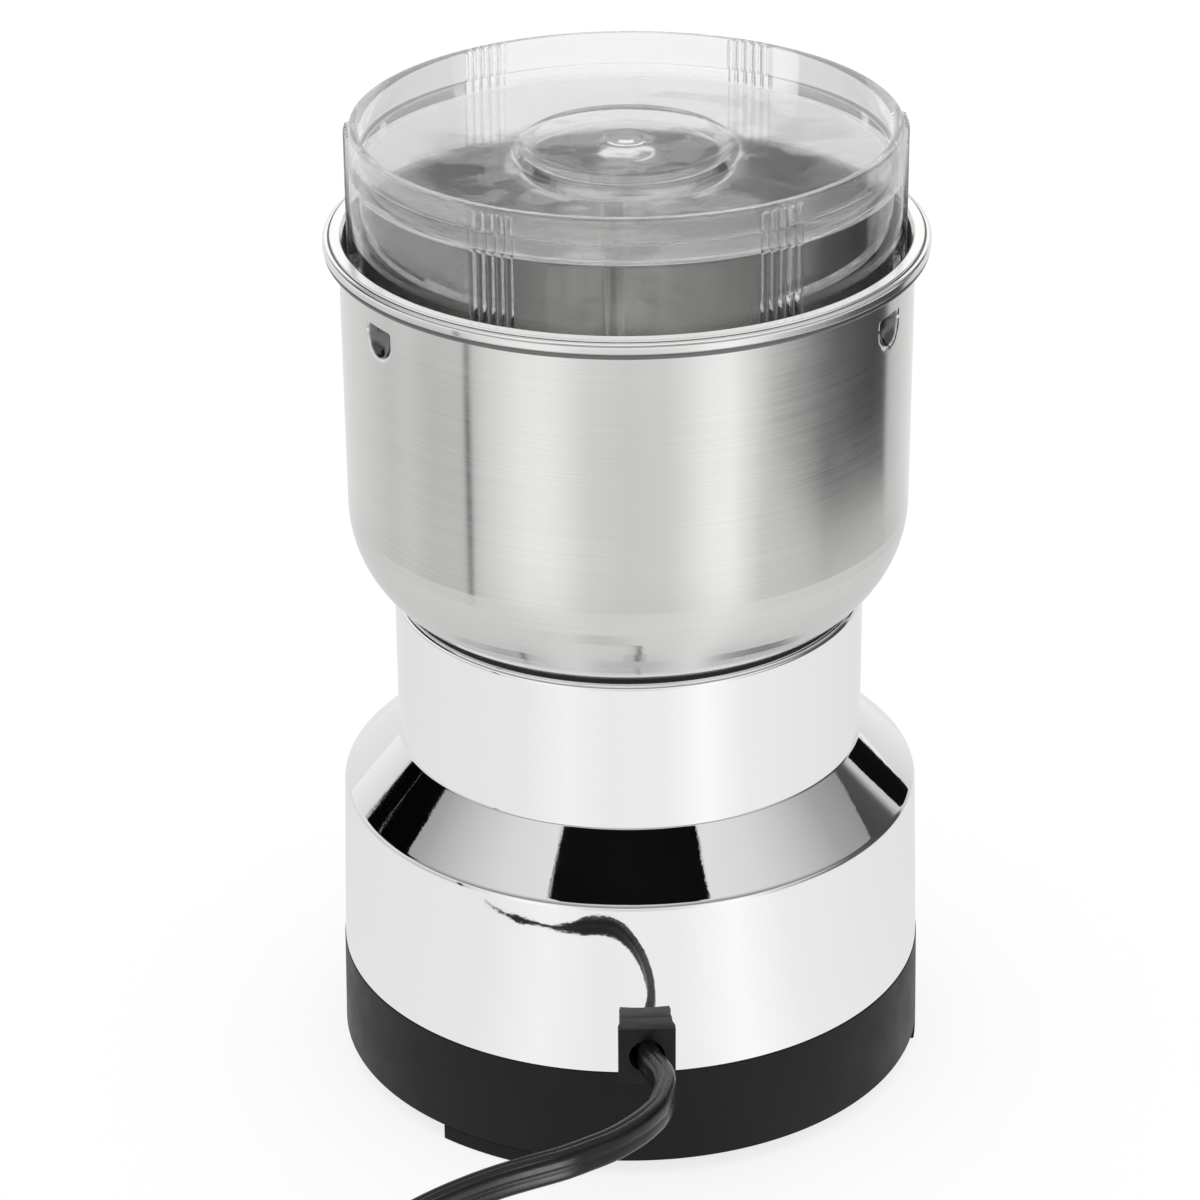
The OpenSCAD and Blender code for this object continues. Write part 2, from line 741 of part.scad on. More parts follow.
// --- Motor: fixed parts --------------------------------------------------------------------
module stator_core() {
    color("gray") difference() {
        intersection() {
            block([-stator_w / 2, -stator_l / 2, core_z], [stator_w / 2, stator_l / 2, core_top]);
            disc(stator_w / 2 + 2, core_z - cut, core_top + cut);
        }
        disc(bore_r, core_z - cut, core_top + cut);
        for (side = [0, 180])
            ring_part(bore_r - cut, coil_out + 0.3, side + window_from, side + window_to, core_z - cut, core_top + cut);
        around(2, screws_at) disc(motor_screw_r + seat_gap, core_z - cut, core_top + cut);
    }
}

module field_coils() {
    color("chocolate") for (side = [0, 180]) rotate([0, 0, side]) {
        for (z = [core_z - coil_end_h, core_top + 0.1])
            ring_part(coil_in, coil_out, -coil_half, coil_half, z, z + coil_end_h - 0.1);
        for (edge = [-1, 1])
            ring_part(coil_in, coil_out, min(edge * coil_side, edge * coil_half),
                max(edge * coil_side, edge * coil_half), core_z - 1, core_top + 1);
    }
}

module upper_bracket() {
    boss_z = upper_plate_z - 6;
    color("silver") difference() {
        union() {
            disc(upper_plate_r, upper_plate_z, web_z);
            block([-screws_at, -plate_bar_w / 2, upper_plate_z], [screws_at, plate_bar_w / 2, web_z]);
            disc(bearing_boss_r, boss_z, web_z);
            around(2, screws_at) disc(motor_post_r, core_top, web_z);
        }
        disc(bearing_r, boss_z - cut, boss_z + bearing_h);
        disc(shaft_r + 1, boss_z, web_z + cut);
        around(3, stud_at, stud_turn) disc(stud_r + seat_gap, upper_plate_z - cut, web_z + cut);
        around(2, screws_at) disc(motor_screw_r, core_top - cut, upper_plate_z - motor_head_h);
    }
}

module upper_bearing() {
    boss_z = upper_plate_z - 6;
    color("goldenrod") ring(shaft_r + running_gap, bearing_r, boss_z, boss_z + bearing_h);
}

module lower_bracket() {
    top = lower_plate_z + lower_plate_t;
    color("ivory") difference() {
        union() {
            disc(lower_plate_r, lower_plate_z, top);
            block([-screws_at, -plate_bar_w / 2, lower_plate_z], [screws_at, plate_bar_w / 2, top]);
            disc(bearing_boss_r, lower_boss_z, top);
            around(2, screws_at) disc(motor_post_r, lower_plate_z, core_z);
            each_brush() block(
                [-plate_bar_w / 2, holder_in + 5, top - cut],
                [plate_bar_w / 2, holder_out - 1, brush_z - holder_wall]
            );
        }
        disc(bearing_r, lower_boss_z - cut, top + cut);
        around(2, screws_at) disc(motor_screw_r + seat_gap, lower_plate_z - cut, core_z + cut);
        around(6, (lower_plate_r + bearing_boss_r) / 2 + 1.5, 30)
            disc(cooling_hole_r, lower_plate_z - cut, top + cut);
    }
}

module lower_bearing() {
    top = lower_plate_z + lower_plate_t;
    color("goldenrod") ring(shaft_r + running_gap, bearing_r, shaft_bottom, top);
}

module motor_screws() {
    color("silver") around(2, screws_at)
        screw(lower_plate_z - motor_head_h, motor_screw_r, motor_head_r, motor_head_h,
            upper_plate_z - 2 * motor_head_h - lower_plate_z + 2);
}

module motor_cushion() {
    color("black") difference() {
        disc(cushion_r, cushion_z, lower_plate_z);
        disc(bearing_boss_r, lower_boss_z, lower_plate_z + cut);
        disc(shaft_r + 2, cushion_z - cut, lower_boss_z + cut);
    }
}

module each_brush() {
    for (side = [0, 180]) rotate([0, 0, side]) children();
}

module brush_holders() {
    w = brush_w / 2 + 0.1;
    color("goldenrod") each_brush() difference() {
        block([-w - holder_wall, holder_in, brush_z - holder_wall],
            [w + holder_wall, holder_out, brush_z + brush_h + holder_wall + 0.2]);
        block([-w, holder_in - cut, brush_z], [w, holder_out - holder_wall, brush_z + brush_h + 0.2]);
    }
}

module carbon_brushes() {
    color("black") each_brush() difference() {
        block([-brush_w / 2, commutator_r - 1, brush_z], [brush_w / 2, commutator_r + brush_l, brush_z + brush_h]);
        disc(commutator_r + running_gap, brush_z - cut, brush_z + brush_h + cut);
    }
}

module brush_springs() {
    color("silver") each_brush()
        translate([0, commutator_r + brush_l, brush_z + brush_h / 2]) rotate([-90, 0, 0])
            spring(1.9, 0.5, holder_out - holder_wall - commutator_r - brush_l, 4);
}

// --- Button and switch ---------------------------------------------------------------------
module push_button() {
    color("black") union() {
        intersection() {
            pill(button_w, button_h, button_z, button_front, flange_front + 0.5);
            translate([0, button_front + button_bow_r, button_z])
                cylinder(h = 50, r = button_bow_r, center = true);
        }
        pill(button_w + 2 * flange_extra, button_h + 2 * flange_extra, button_z,
            flange_front, flange_front + flange_t);
        translate([0, post_end, button_z]) rotate([90, 0, 0]) cylinder(h = post_end - flange_front - 1, r = post_r);
    }
}

module button_spring() {
    color("silver") translate([0, flange_front + flange_t, button_z]) rotate([-90, 0, 0])
        spring(post_r + 1.1, 0.7, spring_l, 3);
}

module switch_bracket() {
    color("ivory") difference() {
        union() {
            block([-bracket_w / 2, bracket_y - bracket_t, floor_z], [bracket_w / 2, bracket_y, bracket_top]);
            block([-bracket_w / 2, bracket_y - cut, floor_z], [bracket_w / 2, bracket_foot_y, floor_z + bracket_t]);
            for (x = [-bracket_w / 2, bracket_w / 2 - bracket_t])
                block([x, bracket_y - cut, floor_z], [x + bracket_t, bracket_foot_y, floor_z + bracket_side_h]);
        }
        translate([0, bracket_y + cut, button_z]) rotate([90, 0, 0])
            cylinder(h = bracket_t + 2 * cut, r = post_r + slide_gap);
        for (side = [-1, 1])
            disc(cover_screw_r + seat_gap, floor_z - cut, floor_z + bracket_t + cut,
                [side * bracket_screw_x, bracket_screw_y]);
    }
}

module bracket_screws() {
    color("silver") for (side = [-1, 1]) translate([side * bracket_screw_x, bracket_screw_y, 0])
        screw(floor_z + bracket_t + small_head_h, cover_screw_r, small_head_r, small_head_h,
            -(bracket_t + small_head_h + floor_t - 0.5));
}

module switch_body() {
    color("darkslategray") difference() {
        block([-switch_size.x / 2, bracket_y, button_z - switch_size.z / 2],
            [switch_size.x / 2, bracket_y + switch_size.y, button_z + switch_size.z / 2]);
        translate([0, plunger_back + button_travel + seat_gap, button_z]) rotate([90, 0, 0])
            cylinder(h = switch_size.y, r = plunger_r + slide_gap);
    }
}

module switch_plunger() {
    start = post_end + seat_gap;
    color("firebrick") translate([0, plunger_back, button_z]) rotate([90, 0, 0])
        cylinder(h = plunger_back - start, r = plunger_r);
}

// --- Small electrical parts ----------------------------------------------------------------
module capacitor() {
    color("gold") block(
        [capacitor_at - capacitor_w / 2, -capacitor_l / 2, floor_z],
        [capacitor_at + capacitor_w / 2, capacitor_l / 2, floor_z + capacitor_h]
    );
}

module wire_connectors() {
    color("white") for (side = [-1, 1]) translate([connector_at.x, side * connector_at.y, floor_z]) {
        cylinder(h = connector_h - connector_r, r = connector_r);
        translate([0, 0, connector_h - connector_r])
            cylinder(h = connector_r, r1 = connector_r, r2 = connector_r - wire_d);
    }
}

// A path with its corners cut off again and again
function soften(p, times) = times == 0 ? p : soften([
    p[0],
    for (i = [0:len(p) - 2]) each [0.75 * p[i] + 0.25 * p[i + 1], 0.25 * p[i] + 0.75 * p[i + 1]],
    p[len(p) - 1]
], times - 1);

module wire(p, up = [1, -1, 0]) {
    sweep(soften(p, 2), oval(wire_d, wire_d, 8), up);
}

module inner_wires() {
    lead_y = clamp_y - clamp_l / 2;
    holder_x = brush_w / 2 + 0.1 + holder_wall;
    holder_y = holder_out - wire_bend;
    holder_z = brush_z + brush_h / 2;
    cap_top = floor_z + capacitor_h;
    cap_y = capacitor_l / 4;
    nut_top = floor_z + connector_h;
    nut_y = connector_at.y;
    switch_x = switch_size.x / 2;
    switch_y = bracket_y + switch_size.y / 3;
    side_x = screws_at - motor_screw_r;
    color("tomato") {
        wire([
            [cord_t / 3, lead_y, exit_z], [side_x / 2, lead_y - wire_bend, exit_z],
            [side_x, nut_y + 2 * wire_bend, exit_z], [connector_at.x, nut_y, nut_top + wire_bend],
            [connector_at.x, nut_y, nut_top]
        ], [1, 1, 0]);
        wire([
            [connector_at.x, -nut_y, nut_top], [connector_at.x, -nut_y, nut_top + wire_bend],
            [side_x, -nut_y - 2 * wire_bend, exit_z], [bracket_w / 2 + wire_d, switch_y, button_z - wire_bend],
            [switch_x, switch_y, button_z - wire_d]
        ]);
        wire([
            [-switch_x, switch_y, button_z - wire_d], [-switch_x - wire_bend, switch_y / 2 - holder_y / 2, holder_z],
            [-holder_x, -holder_y, holder_z]
        ]);
    }
    color("royalblue") {
        wire([
            [-cord_t / 3, lead_y, exit_z], [-side_x / 2, lead_y - wire_bend, exit_z],
            [-side_x - wire_bend, nut_y, exit_z + wire_bend],
            [capacitor_at, -cap_y, cap_top + 3 * wire_bend], [capacitor_at, -cap_y, cap_top]
        ]);
        wire([
            [capacitor_at, cap_y, cap_top], [capacitor_at, cap_y, cap_top + wire_bend],
            [-holder_y, nut_y, holder_z - wire_bend], [-holder_x, holder_y, holder_z]
        ]);
    }
}

// --- Lead ----------------------------------------------------------------------------------
module strain_relief() {
    w = relief_w / 2;
    wall_y = drum_radius(exit_z);
    flange_top = relief_z + relief_h + 0.5;
    flange_y = sqrt(pow(drum_radius(flange_top) - shell_wall, 2) - pow(w + 1.5, 2));
    color("black") difference() {
        union() {
            difference() {
                translate([0, 0, relief_z]) linear_extrude(relief_h) polygon([
                    [-w + 0.4, wall_y - 1], [w - 0.4, wall_y - 1], [w - 0.4, wall_y + 0.8],
                    [w, exit_y - 1.3], [w, exit_y], [-w, exit_y], [-w, exit_y - 1.3],
                    [-w + 0.4, wall_y + 0.8]
                ]);
                housing_solid();
            }
            block(
                [relief_neck - w, lip_r - 3, relief_z + relief_neck],
                [w - relief_neck, wall_y + 1, relief_z + relief_h - relief_neck]
            );
            block([-w - 1.5, flange_y - 2.4, seam_z + lip_h + 0.2], [w + 1.5, flange_y, flange_top]);
        }
        translate([0, exit_y + cut, exit_z]) rotate([90, 0, 0]) cylinder(h = exit_y, r = relief_hole_r);
    }
}

module lead_inner() {
    end_y = drum_radius(exit_z);
    color("black") translate([0, end_y, exit_z]) rotate([90, 0, 0])
        linear_extrude(end_y - clamp_y + clamp_l / 2) union() {
            for (side = [-1, 1]) translate([0, side * (cord_w - cord_t) / 2]) circle(d = cord_t);
            square([cord_t, cord_w - cord_t], center = true);
        }
}

module lead_clamp() {
    z = exit_z + cord_w / 2;
    color("ivory") difference() {
        block([-clamp_w / 2, clamp_y - clamp_l / 2, z], [clamp_w / 2, clamp_y + clamp_l / 2, z + clamp_t]);
        for (side = [-1, 1])
            disc(cover_screw_r + seat_gap, z - cut, z + clamp_t + cut, [side * clamp_screw_x, clamp_y]);
    }
}

module clamp_screws() {
    top = exit_z + cord_w / 2 + clamp_t + small_head_h;
    color("silver") for (side = [-1, 1]) translate([side * clamp_screw_x, clamp_y, 0])
        screw(top, cover_screw_r, small_head_r, small_head_h, exit_z - clamp_grip - top);
}

module cord() {
    color("black") {
        sweep(cord_route, oval(cord_t, cord_w, 10));
        sweep(tail_route, oval(cord_t, cord_w, 10));
    }
}

module cord_coil() {
    w = coil_layers * cord_t / 2;
    h = coil_layers * cord_w;
    color("black") translate([coil_centre.x, coil_centre.y, 0]) lathe([
        [coil_mean_r - w, 0, 1.5], [coil_mean_r + w, 0, 1.5],
        [coil_mean_r + w, h, 1.5], [coil_mean_r - w, h, 1.5]
    ]);
}

module plug_body() {
    z = plug_t / 2;
    back = plug_x - plug_neck_l;
    color("black") difference() {
        union() {
            translate([plug_x, plug_y, z]) rotate([0, -90, 0]) cylinder(h = plug_neck_l + 1, r = cord_w / 2 + 1);
            intersection() {
                linear_extrude(plug_t) polygon(outline([
                    [back, plug_y - 5], [back - plug_l / 2, plug_y - plug_w / 2, 8],
                    [back - plug_l, plug_y - plug_w / 2, 1], [back - plug_l, plug_y + plug_w / 2, 1],
                    [back - plug_l / 2, plug_y + plug_w / 2, 8], [back, plug_y + 5]
                ]));
                translate([0, plug_y + plug_w, 0]) rotate([90, 0, 0]) linear_extrude(2 * plug_w) polygon([
                    [back - plug_l, 0], [back - plug_l / 2, 0], [back, 2], [back, plug_t - 2],
                    [back - plug_l / 2, plug_t], [back - plug_l, plug_t]
                ]);
            }
        }
    }
}

module plug_pins() {
    front = plug_x - plug_neck_l - plug_l;
    color("silver") for (side = [-1, 1]) translate([front, plug_y + side * pin_span / 2, plug_t / 2])
        rotate([0, -90, 0]) {
            cylinder(h = pin_l - 1, r = pin_r);
            translate([0, 0, pin_l - 1]) cylinder(h = 1, r1 = pin_r, r2 = pin_r - 0.8);
        }
}

lid();
cup();
cup_gasket();
cup_pad();
mount_nuts();
housing();
base();
feet();
cover_screws();
shaft_bush();
felt_washer();
blade();
blade_nut();
motor_shaft();
rotor_core();
rotor_windings();
commutator();
cooling_fan();
stator_core();
field_coils();
upper_bracket();
upper_bearing();
lower_bracket();
lower_bearing();
motor_screws();
motor_cushion();
brush_holders();
carbon_brushes();
brush_springs();
push_button();
button_spring();
switch_bracket();
bracket_screws();
switch_body();
switch_plunger();
capacitor();
wire_connectors();
inner_wires();
strain_relief();
lead_clamp();
clamp_screws();
lead_inner();
cord();
cord_coil();
plug_body();
plug_pins();
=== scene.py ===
import bpy
import bmesh
import math
from mathutils import Matrix, Vector, noise


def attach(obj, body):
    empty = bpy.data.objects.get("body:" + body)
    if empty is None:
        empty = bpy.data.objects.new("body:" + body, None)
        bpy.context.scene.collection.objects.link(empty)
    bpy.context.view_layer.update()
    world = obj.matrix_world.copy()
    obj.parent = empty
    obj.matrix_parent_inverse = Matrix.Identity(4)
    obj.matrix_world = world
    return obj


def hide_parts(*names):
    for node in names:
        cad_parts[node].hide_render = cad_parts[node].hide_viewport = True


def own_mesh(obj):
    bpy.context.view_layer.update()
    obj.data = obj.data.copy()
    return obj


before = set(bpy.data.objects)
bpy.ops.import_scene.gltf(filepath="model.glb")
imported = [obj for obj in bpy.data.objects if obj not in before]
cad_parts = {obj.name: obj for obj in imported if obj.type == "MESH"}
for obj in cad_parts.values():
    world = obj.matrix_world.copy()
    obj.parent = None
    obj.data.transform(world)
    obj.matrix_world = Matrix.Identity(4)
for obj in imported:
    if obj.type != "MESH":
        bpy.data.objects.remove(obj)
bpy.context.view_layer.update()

# --- Viewpoint -------------------------------------------------------------------------------
# The grinder stands on the table with its button away from the viewer, who looks down on the
# side where the lead leaves the housing.
eye = bpy.data.objects.new("viewpoint", bpy.data.cameras.new("viewpoint"))
eye.location = (0.03155207, 0.64512888, 0.3988)
eye.rotation_euler = [math.radians(a) for a in (63.8781, 0.4498, 177.4094)]
eye.data.lens = 127.98
eye.data.sensor_width = 36
eye.data.clip_start = 0.01
bpy.context.scene.collection.objects.link(eye)
bpy.context.scene.camera = eye

# --- Lead ------------------------------------------------------------------------------------
# Flat two-core mains lead, about 0.9 m long: black PVC pressed round both cores, with a shallow
# groove between them. It bows out of its strain relief, drops to the table and is wound up.
MM = 0.001
lead_width = 5.4
lead_thick = 3.4
lead_route = [
    (0, 49.6, 25), (0, 51.7, 25), (-0.3, 54.6, 25.25), (-0.9, 57.5, 25.7), (-1.7, 60.3, 26.2), (-2.2, 63.3, 26.7),
    (-2.3, 66.2, 27.05), (-1.9, 69.2, 27.35), (-1.2, 72.1, 27.6), (-0.1, 74.9, 27.8), (1.4, 77.4, 28),
    (3.3, 79.8, 28.1), (5.4, 81.9, 28.1), (7.8, 83.7, 28), (10.5, 85.1, 27.8), (14.7, 86.7, 27.2),
    (19.5, 87.5, 26.3), (24.8, 88, 25), (30.2, 88.6, 23.3), (35.8, 89.7, 21.4), (41.1, 91.6, 19.5),
    (45.9, 94.4, 17.6), (50.4, 98.1, 15.6), (54.3, 102.5, 13.6), (57.3, 107.5, 11.8), (59.2, 113, 10.2),
    (60.1, 118.4, 8.85)
]
lead_tail = [(25, 154.35, 2.8), (20, 154.7, 3.2), (15, 154.6, 4.6), (11, 154.3, 6.1), (8, 154.2, 6.8)]


def ease(value, start, end):
    """0 before start and 1 after end, with a soft turn between them."""
    t = min(max((value - start) / (end - start), 0), 1)
    return t * t * (3 - 2 * t)


# The winding: a little over four turns, at two radii and in three layers.
winding = []
for step in range(0, 1531, 10):
    r = 30.2 - 3.4 * ease(step, 270, 360) + 3.4 * ease(step, 1172, 1262)
    z = 8.13 + 5.4 * (ease(step, 200, 260) - ease(step, 602, 662) - ease(step, 902, 962))
    turn = math.radians(step)
    winding.append((30 + r * math.cos(turn), 124 + r * math.sin(turn), z))
lead_line = [Vector(p) for p in lead_route + winding + lead_tail]


def smooth_line(points, gap):
    """Points on one smooth curve through the given ones, about gap apart."""
    ends = [2 * points[0] - points[1], *points, 2 * points[-1] - points[-2]]
    made = []
    for a, b, c, d in zip(ends, ends[1:], ends[2:], ends[3:]):
        count = max(1, round((c - b).length / gap))
        for i in range(count):
            t = i / count
            made.append(0.5 * (2 * b + (c - a) * t + (2 * a - 5 * b + 4 * c - d) * t ** 2
                               + (3 * b - a - 3 * c + d) * t ** 3))
    return made + [points[-1].copy()]


def put_in_scene(name, points, faces, smooth=True, sharp=40):
    """A mesh object from points in mm, with its faces turned outwards."""
    mesh = bpy.data.meshes.new(name)
    mesh.from_pydata([Vector(p) * MM for p in points], [], faces)
    work = bmesh.new()
    work.from_mesh(mesh)
    bmesh.ops.recalc_face_normals(work, faces=work.faces)
    work.to_mesh(mesh)
    work.free()
    piece = bpy.data.objects.new(name, mesh)
    bpy.context.scene.collection.objects.link(piece)
    if smooth:
        shade(piece, sharp)
    return piece


def shade(piece, sharp=40):
    """Smooth shading, but for edges that turn by more than sharp degrees."""
    piece.data.polygons.foreach_set("use_smooth", [True] * len(piece.data.polygons))
    piece.data.set_sharp_from_angle(angle=math.radians(sharp))


def skin(rings, n):
    """The faces of a tube of rings with n points each, closed at both ends."""
    faces = [(i * n + j, i * n + (j + 1) % n, (i + 1) * n + (j + 1) % n, (i + 1) * n + j)
             for i in range(rings - 1) for j in range(n)]
    return faces + [tuple(range(n)), tuple(range((rings - 1) * n, rings * n))]


def sweep(name, line, section, up=(0, 0, 1)):
    """A tube along a line: the section's first axis lies across, its second one leans towards up."""
    points = []
    for i, p in enumerate(line):
        along = (line[min(i + 1, len(line) - 1)] - line[max(i - 1, 0)]).normalized()
        across = along.cross(Vector(up)).normalized()
        lift = across.cross(along)
        points += [p + across * s[0] + lift * s[1] for s in section]
    return put_in_scene(name, points, skin(len(line), len(section)))


def rounded(corners, step=6, closed=True, loops=0.12):
    """Outline through corners (x, y) or (x, y, radius), with points close to both ends of each straight."""
    made, count = [], len(corners)
    for i, corner in enumerate(corners):
        here = Vector(corner[:2])
        r = corner[2] if len(corner) > 2 else 0
        if r == 0 or (not closed and i in (0, count - 1)):
            made.append(here)
            continue
        u = (Vector(corners[i - 1][:2]) - here).normalized()
        v = (Vector(corners[(i + 1) % count][:2]) - here).normalized()
        half = u.angle(v) / 2
        middle = here + (u + v).normalized() * r / math.sin(half)
        first = here + u * r / math.tan(half) - middle
        turn = math.copysign(math.pi - 2 * half, -u.cross(v))
        steps = max(2, math.ceil(abs(math.degrees(turn)) / step))
        made += [middle + Matrix.Rotation(turn * k / steps, 2) @ first for k in range(steps + 1)]
    line = []
    for i, p in enumerate(made):
        line.append(p)
        if i == len(made) - 1 and not closed:
            break
        q = made[(i + 1) % len(made)]
        if (q - p).length > 5 * loops:
            line += [p + (q - p).normalized() * loops, q + (p - q).normalized() * loops]
    return line


half_w, half_t = lead_width / 2, lead_thick / 2
lead_section = rounded([
    (half_t, -half_w, 1.3), (half_t, -0.6, 0.5), (1.58, 0, 0.8), (half_t, 0.6, 0.5), (half_t, half_w, 1.3),
    (0.45, half_w, 0.4), (0, 2.5, 0.5), (-0.45, half_w, 0.4),
    (-half_t, half_w, 1.3), (-half_t, 0.6, 0.5), (-1.58, 0, 0.8), (-half_t, -0.6, 0.5), (-half_t, -half_w, 1.3)
], step=15, loops=0.2)
lead_line = smooth_line(lead_line, 2)
lead = sweep("lead", lead_line, lead_section)


def new_finish(name, colour, roughness, **sockets):
    """A material with one principled shader, its fixed values set on the shader's own sockets."""
    made = bpy.data.materials.new(name)
    made.use_nodes = True
    shader = made.node_tree.nodes["Principled BSDF"]
    shader.inputs["Base Color"].default_value = (*colour, 1)
    shader.inputs["Roughness"].default_value = roughness
    made.diffuse_color = (*colour, 1)
    for socket, value in sockets.items():
        shader.inputs[socket.replace("_", " ")].default_value = value
    return made


def add(made, kind, inputs=None, **settings):
    """Adds one node to a finish; an input is a value or the socket that feeds it."""
    tree = made.node_tree
    step = tree.nodes.new("ShaderNode" + kind)
    for key, value in settings.items():
        setattr(step, key, value)
    for key, value in (inputs or {}).items():
        if isinstance(value, bpy.types.NodeSocket):
            tree.links.new(value, step.inputs[key])
        else:
            step.inputs[key].default_value = value
    return step.outputs[0]


def feed(made, socket, source):
    made.node_tree.links.new(source, made.node_tree.nodes["Principled BSDF"].inputs[socket])


def place_on(made, stretch=(1, 1, 1), turn=(0, 0, 0), centre=(0, 0, 0)):
    """The point on the piece, with the pattern's axes stretched, turned and moved."""
    at = add(made, "TexCoord").node.outputs["Object"]
    return add(made, "Mapping", {"Vector": at, "Location": centre, "Rotation": turn, "Scale": stretch})


def mottle(made, grain, at=None, detail=4, sharpness=0.55):
    """Uneven tone from 0 to 1, with patches about grain mm wide."""
    return add(made, "TexNoise", {
        "Vector": at or place_on(made), "Scale": 1 / (grain * MM), "Detail": detail, "Roughness": sharpness
    })


def spread(made, tone, low, high, start=0.3, end=0.7):
    """Carries a tone between start and end over to the values low to high."""
    return add(made, "MapRange", {"Value": tone, "From Min": start, "From Max": end, "To Min": low, "To Max": high})


def tint(made, tone, *stops):
    """Colours along a tone, as (position, colour) stops; a single number is a grey."""
    ramp = add(made, "ValToRGB", {"Fac": tone}).node
    marks = ramp.color_ramp.elements
    marks.remove(marks[1])
    for i, (position, colour) in enumerate(stops):
        mark = marks.new(position) if i else marks[0]
        mark.position = position
        mark.color = (*(colour if hasattr(colour, "__len__") else [colour] * 3), 1)
    return ramp.outputs["Color"]


def relief(made, tone, height, strength=1.0):
    """Raises the surface where the tone is light, by height in mm."""
    shader = made.node_tree.nodes["Principled BSDF"]
    inputs = {"Height": tone, "Distance": height * MM, "Strength": strength}
    if shader.inputs["Normal"].is_linked:
        inputs["Normal"] = shader.inputs["Normal"].links[0].from_socket
    feed(made, "Normal", add(made, "Bump", inputs))


def mottled(name, colour, roughness, grain, low, high, dark, bright, pits, height, detail=4, **sockets):
    """A finish uneven in tone and roughness, in patches about grain mm wide, with pits of its own size."""
    made = new_finish(name, colour, roughness, **sockets)
    tone = mottle(made, grain)
    feed(made, "Roughness", spread(made, tone, low, high))
    feed(made, "Base Color", tint(made, tone, (0.3, dark), (0.7, bright)))
    relief(made, mottle(made, pits, detail=detail), height)
    return made


lead_pvc = mottled("black_lead_pvc", (0.006, 0.006, 0.007), 0.3, 2.5, 0.24, 0.32, (0.005, 0.005, 0.006),
                   (0.009, 0.009, 0.010), 0.5, 0.003, detail=2, Specular_IOR_Level=0.3)
lead.data.materials.append(lead_pvc)
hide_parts("cord", "cord_coil")
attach(lead, "root")

# --- Plug ------------------------------------------------------------------------------------
# Two-pin mains plug moulded on to the lead's end, in the lead's black PVC. Its waist tapers to
# a ribbed neck; the two brass pins are pressed into a carrier inside it before moulding.
plug_y, plug_z, plug_sides = 154.2, 6.8, 48
neck_stations = [7, 6.6, 5.4, 5, 3.8, 3.4, 2.2, 1.8, 0.6, 0.2]
plug_stations = [8, 7.8, *neck_stations, -1, -1.6, -2.6, -4, -6, -8, -10, -12, -13, -15, -18, -21, -24, -26.5,
                 -27.4, -27.8, -28]
rings = []
for x in plug_stations:
    if x > -2:
        groove = 0.45 if x in neck_stations and round((x + 1) * 10) % 16 < 8 else 0
        w = h = 3.7 - groove - (0.3 if x == 8 else 0)
        power = 2.0
    else:
        edge = 0.8 * ease(x, -27, -28) ** 2
        w = 5 + 7.5 * ease(x, 2, -13) - 0.5 * ease(x, -24, -28) - edge
        h = 3.8 + 3 * ease(x, -1, -13) - edge
        power = 2.0 + 2.0 * ease(x, -2, -12)
    rings.append([
        (x, plug_y + w * math.copysign(abs(math.cos(a)) ** (2 / power), math.cos(a)),
         plug_z + h * math.copysign(abs(math.sin(a)) ** (2 / power), math.sin(a)))
        for a in (math.radians(k * 360 / plug_sides) for k in range(plug_sides))
    ])
plug = put_in_scene("plug", [p for ring in rings for p in ring], skin(len(rings), plug_sides), sharp=50)
plug_pvc = mottled("black_plug_pvc", (0.011, 0.011, 0.012), 0.35, 6, 0.28, 0.46, (0.008, 0.008, 0.009),
                   (0.015, 0.015, 0.016), 0.35, 0.02, detail=2, Specular_IOR_Level=0.45)
plug.data.materials.append(plug_pvc)
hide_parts("plug_body")
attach(plug, "root")

pin_brass = new_finish("nickelled_pin_brass", (0.62, 0.58, 0.48), 0.25, Metallic=1.0)
tone = mottle(pin_brass, 1.2, place_on(pin_brass, (0.2, 1, 1)))
feed(pin_brass, "Roughness", spread(pin_brass, tone, 0.16, 0.38))
feed(pin_brass, "Base Color", tint(pin_brass, tone, (0.3, (0.50, 0.44, 0.33)), (0.7, (0.70, 0.66, 0.56))))
relief(pin_brass, mottle(pin_brass, 0.3, place_on(pin_brass, (0.05, 1, 1))), 0.01)
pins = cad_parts["plug_pins"]
pins.data.materials.clear()
pins.data.materials.append(pin_brass)
for piece in (lead, plug, pins):
    piece.visible_glossy = False

# --- Strain relief ---------------------------------------------------------------------------
# Block of black PVC moulded round the lead where it leaves the housing. A neck sits in the
# notch of the wall, a flange behind it keeps it in, and its outer end is open round the lead.
def swap(node, name, made, body="root", soften=0.2, sharp=35, steps=2):
    """Puts a copy of a CAD node in its place, its triangles joined and its edges softened by that many mm."""
    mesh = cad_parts[node].data.copy()
    mesh.name = name
    mesh.materials.clear()
    work = bmesh.new()
    work.from_mesh(mesh)
    bmesh.ops.remove_doubles(work, verts=work.verts, dist=0.002 * MM)
    bmesh.ops.dissolve_limit(work, angle_limit=math.radians(1), verts=work.verts, edges=work.edges)
    work.to_mesh(mesh)
    work.free()
    piece = bpy.data.objects.new(name, mesh)
    bpy.context.scene.collection.objects.link(piece)
    if soften:
        edge = piece.modifiers.new("soft_edges", "BEVEL")
        edge.width = soften * MM
        edge.segments = steps
        edge.limit_method = "ANGLE"
        edge.angle_limit = math.radians(sharp)
        edge.use_clamp_overlap = True
        plain(piece)
    shade(piece, sharp)
    piece.data.materials.append(made)
    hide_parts(node)
    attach(piece, body)
    return piece


def plain(piece):
    """Turns a piece and its modifiers into a plain mesh."""
    bpy.context.view_layer.update()
    done = bpy.data.meshes.new_from_object(piece.evaluated_get(bpy.context.evaluated_depsgraph_get()))
    piece.modifiers.clear()
    piece.data = done
    return piece


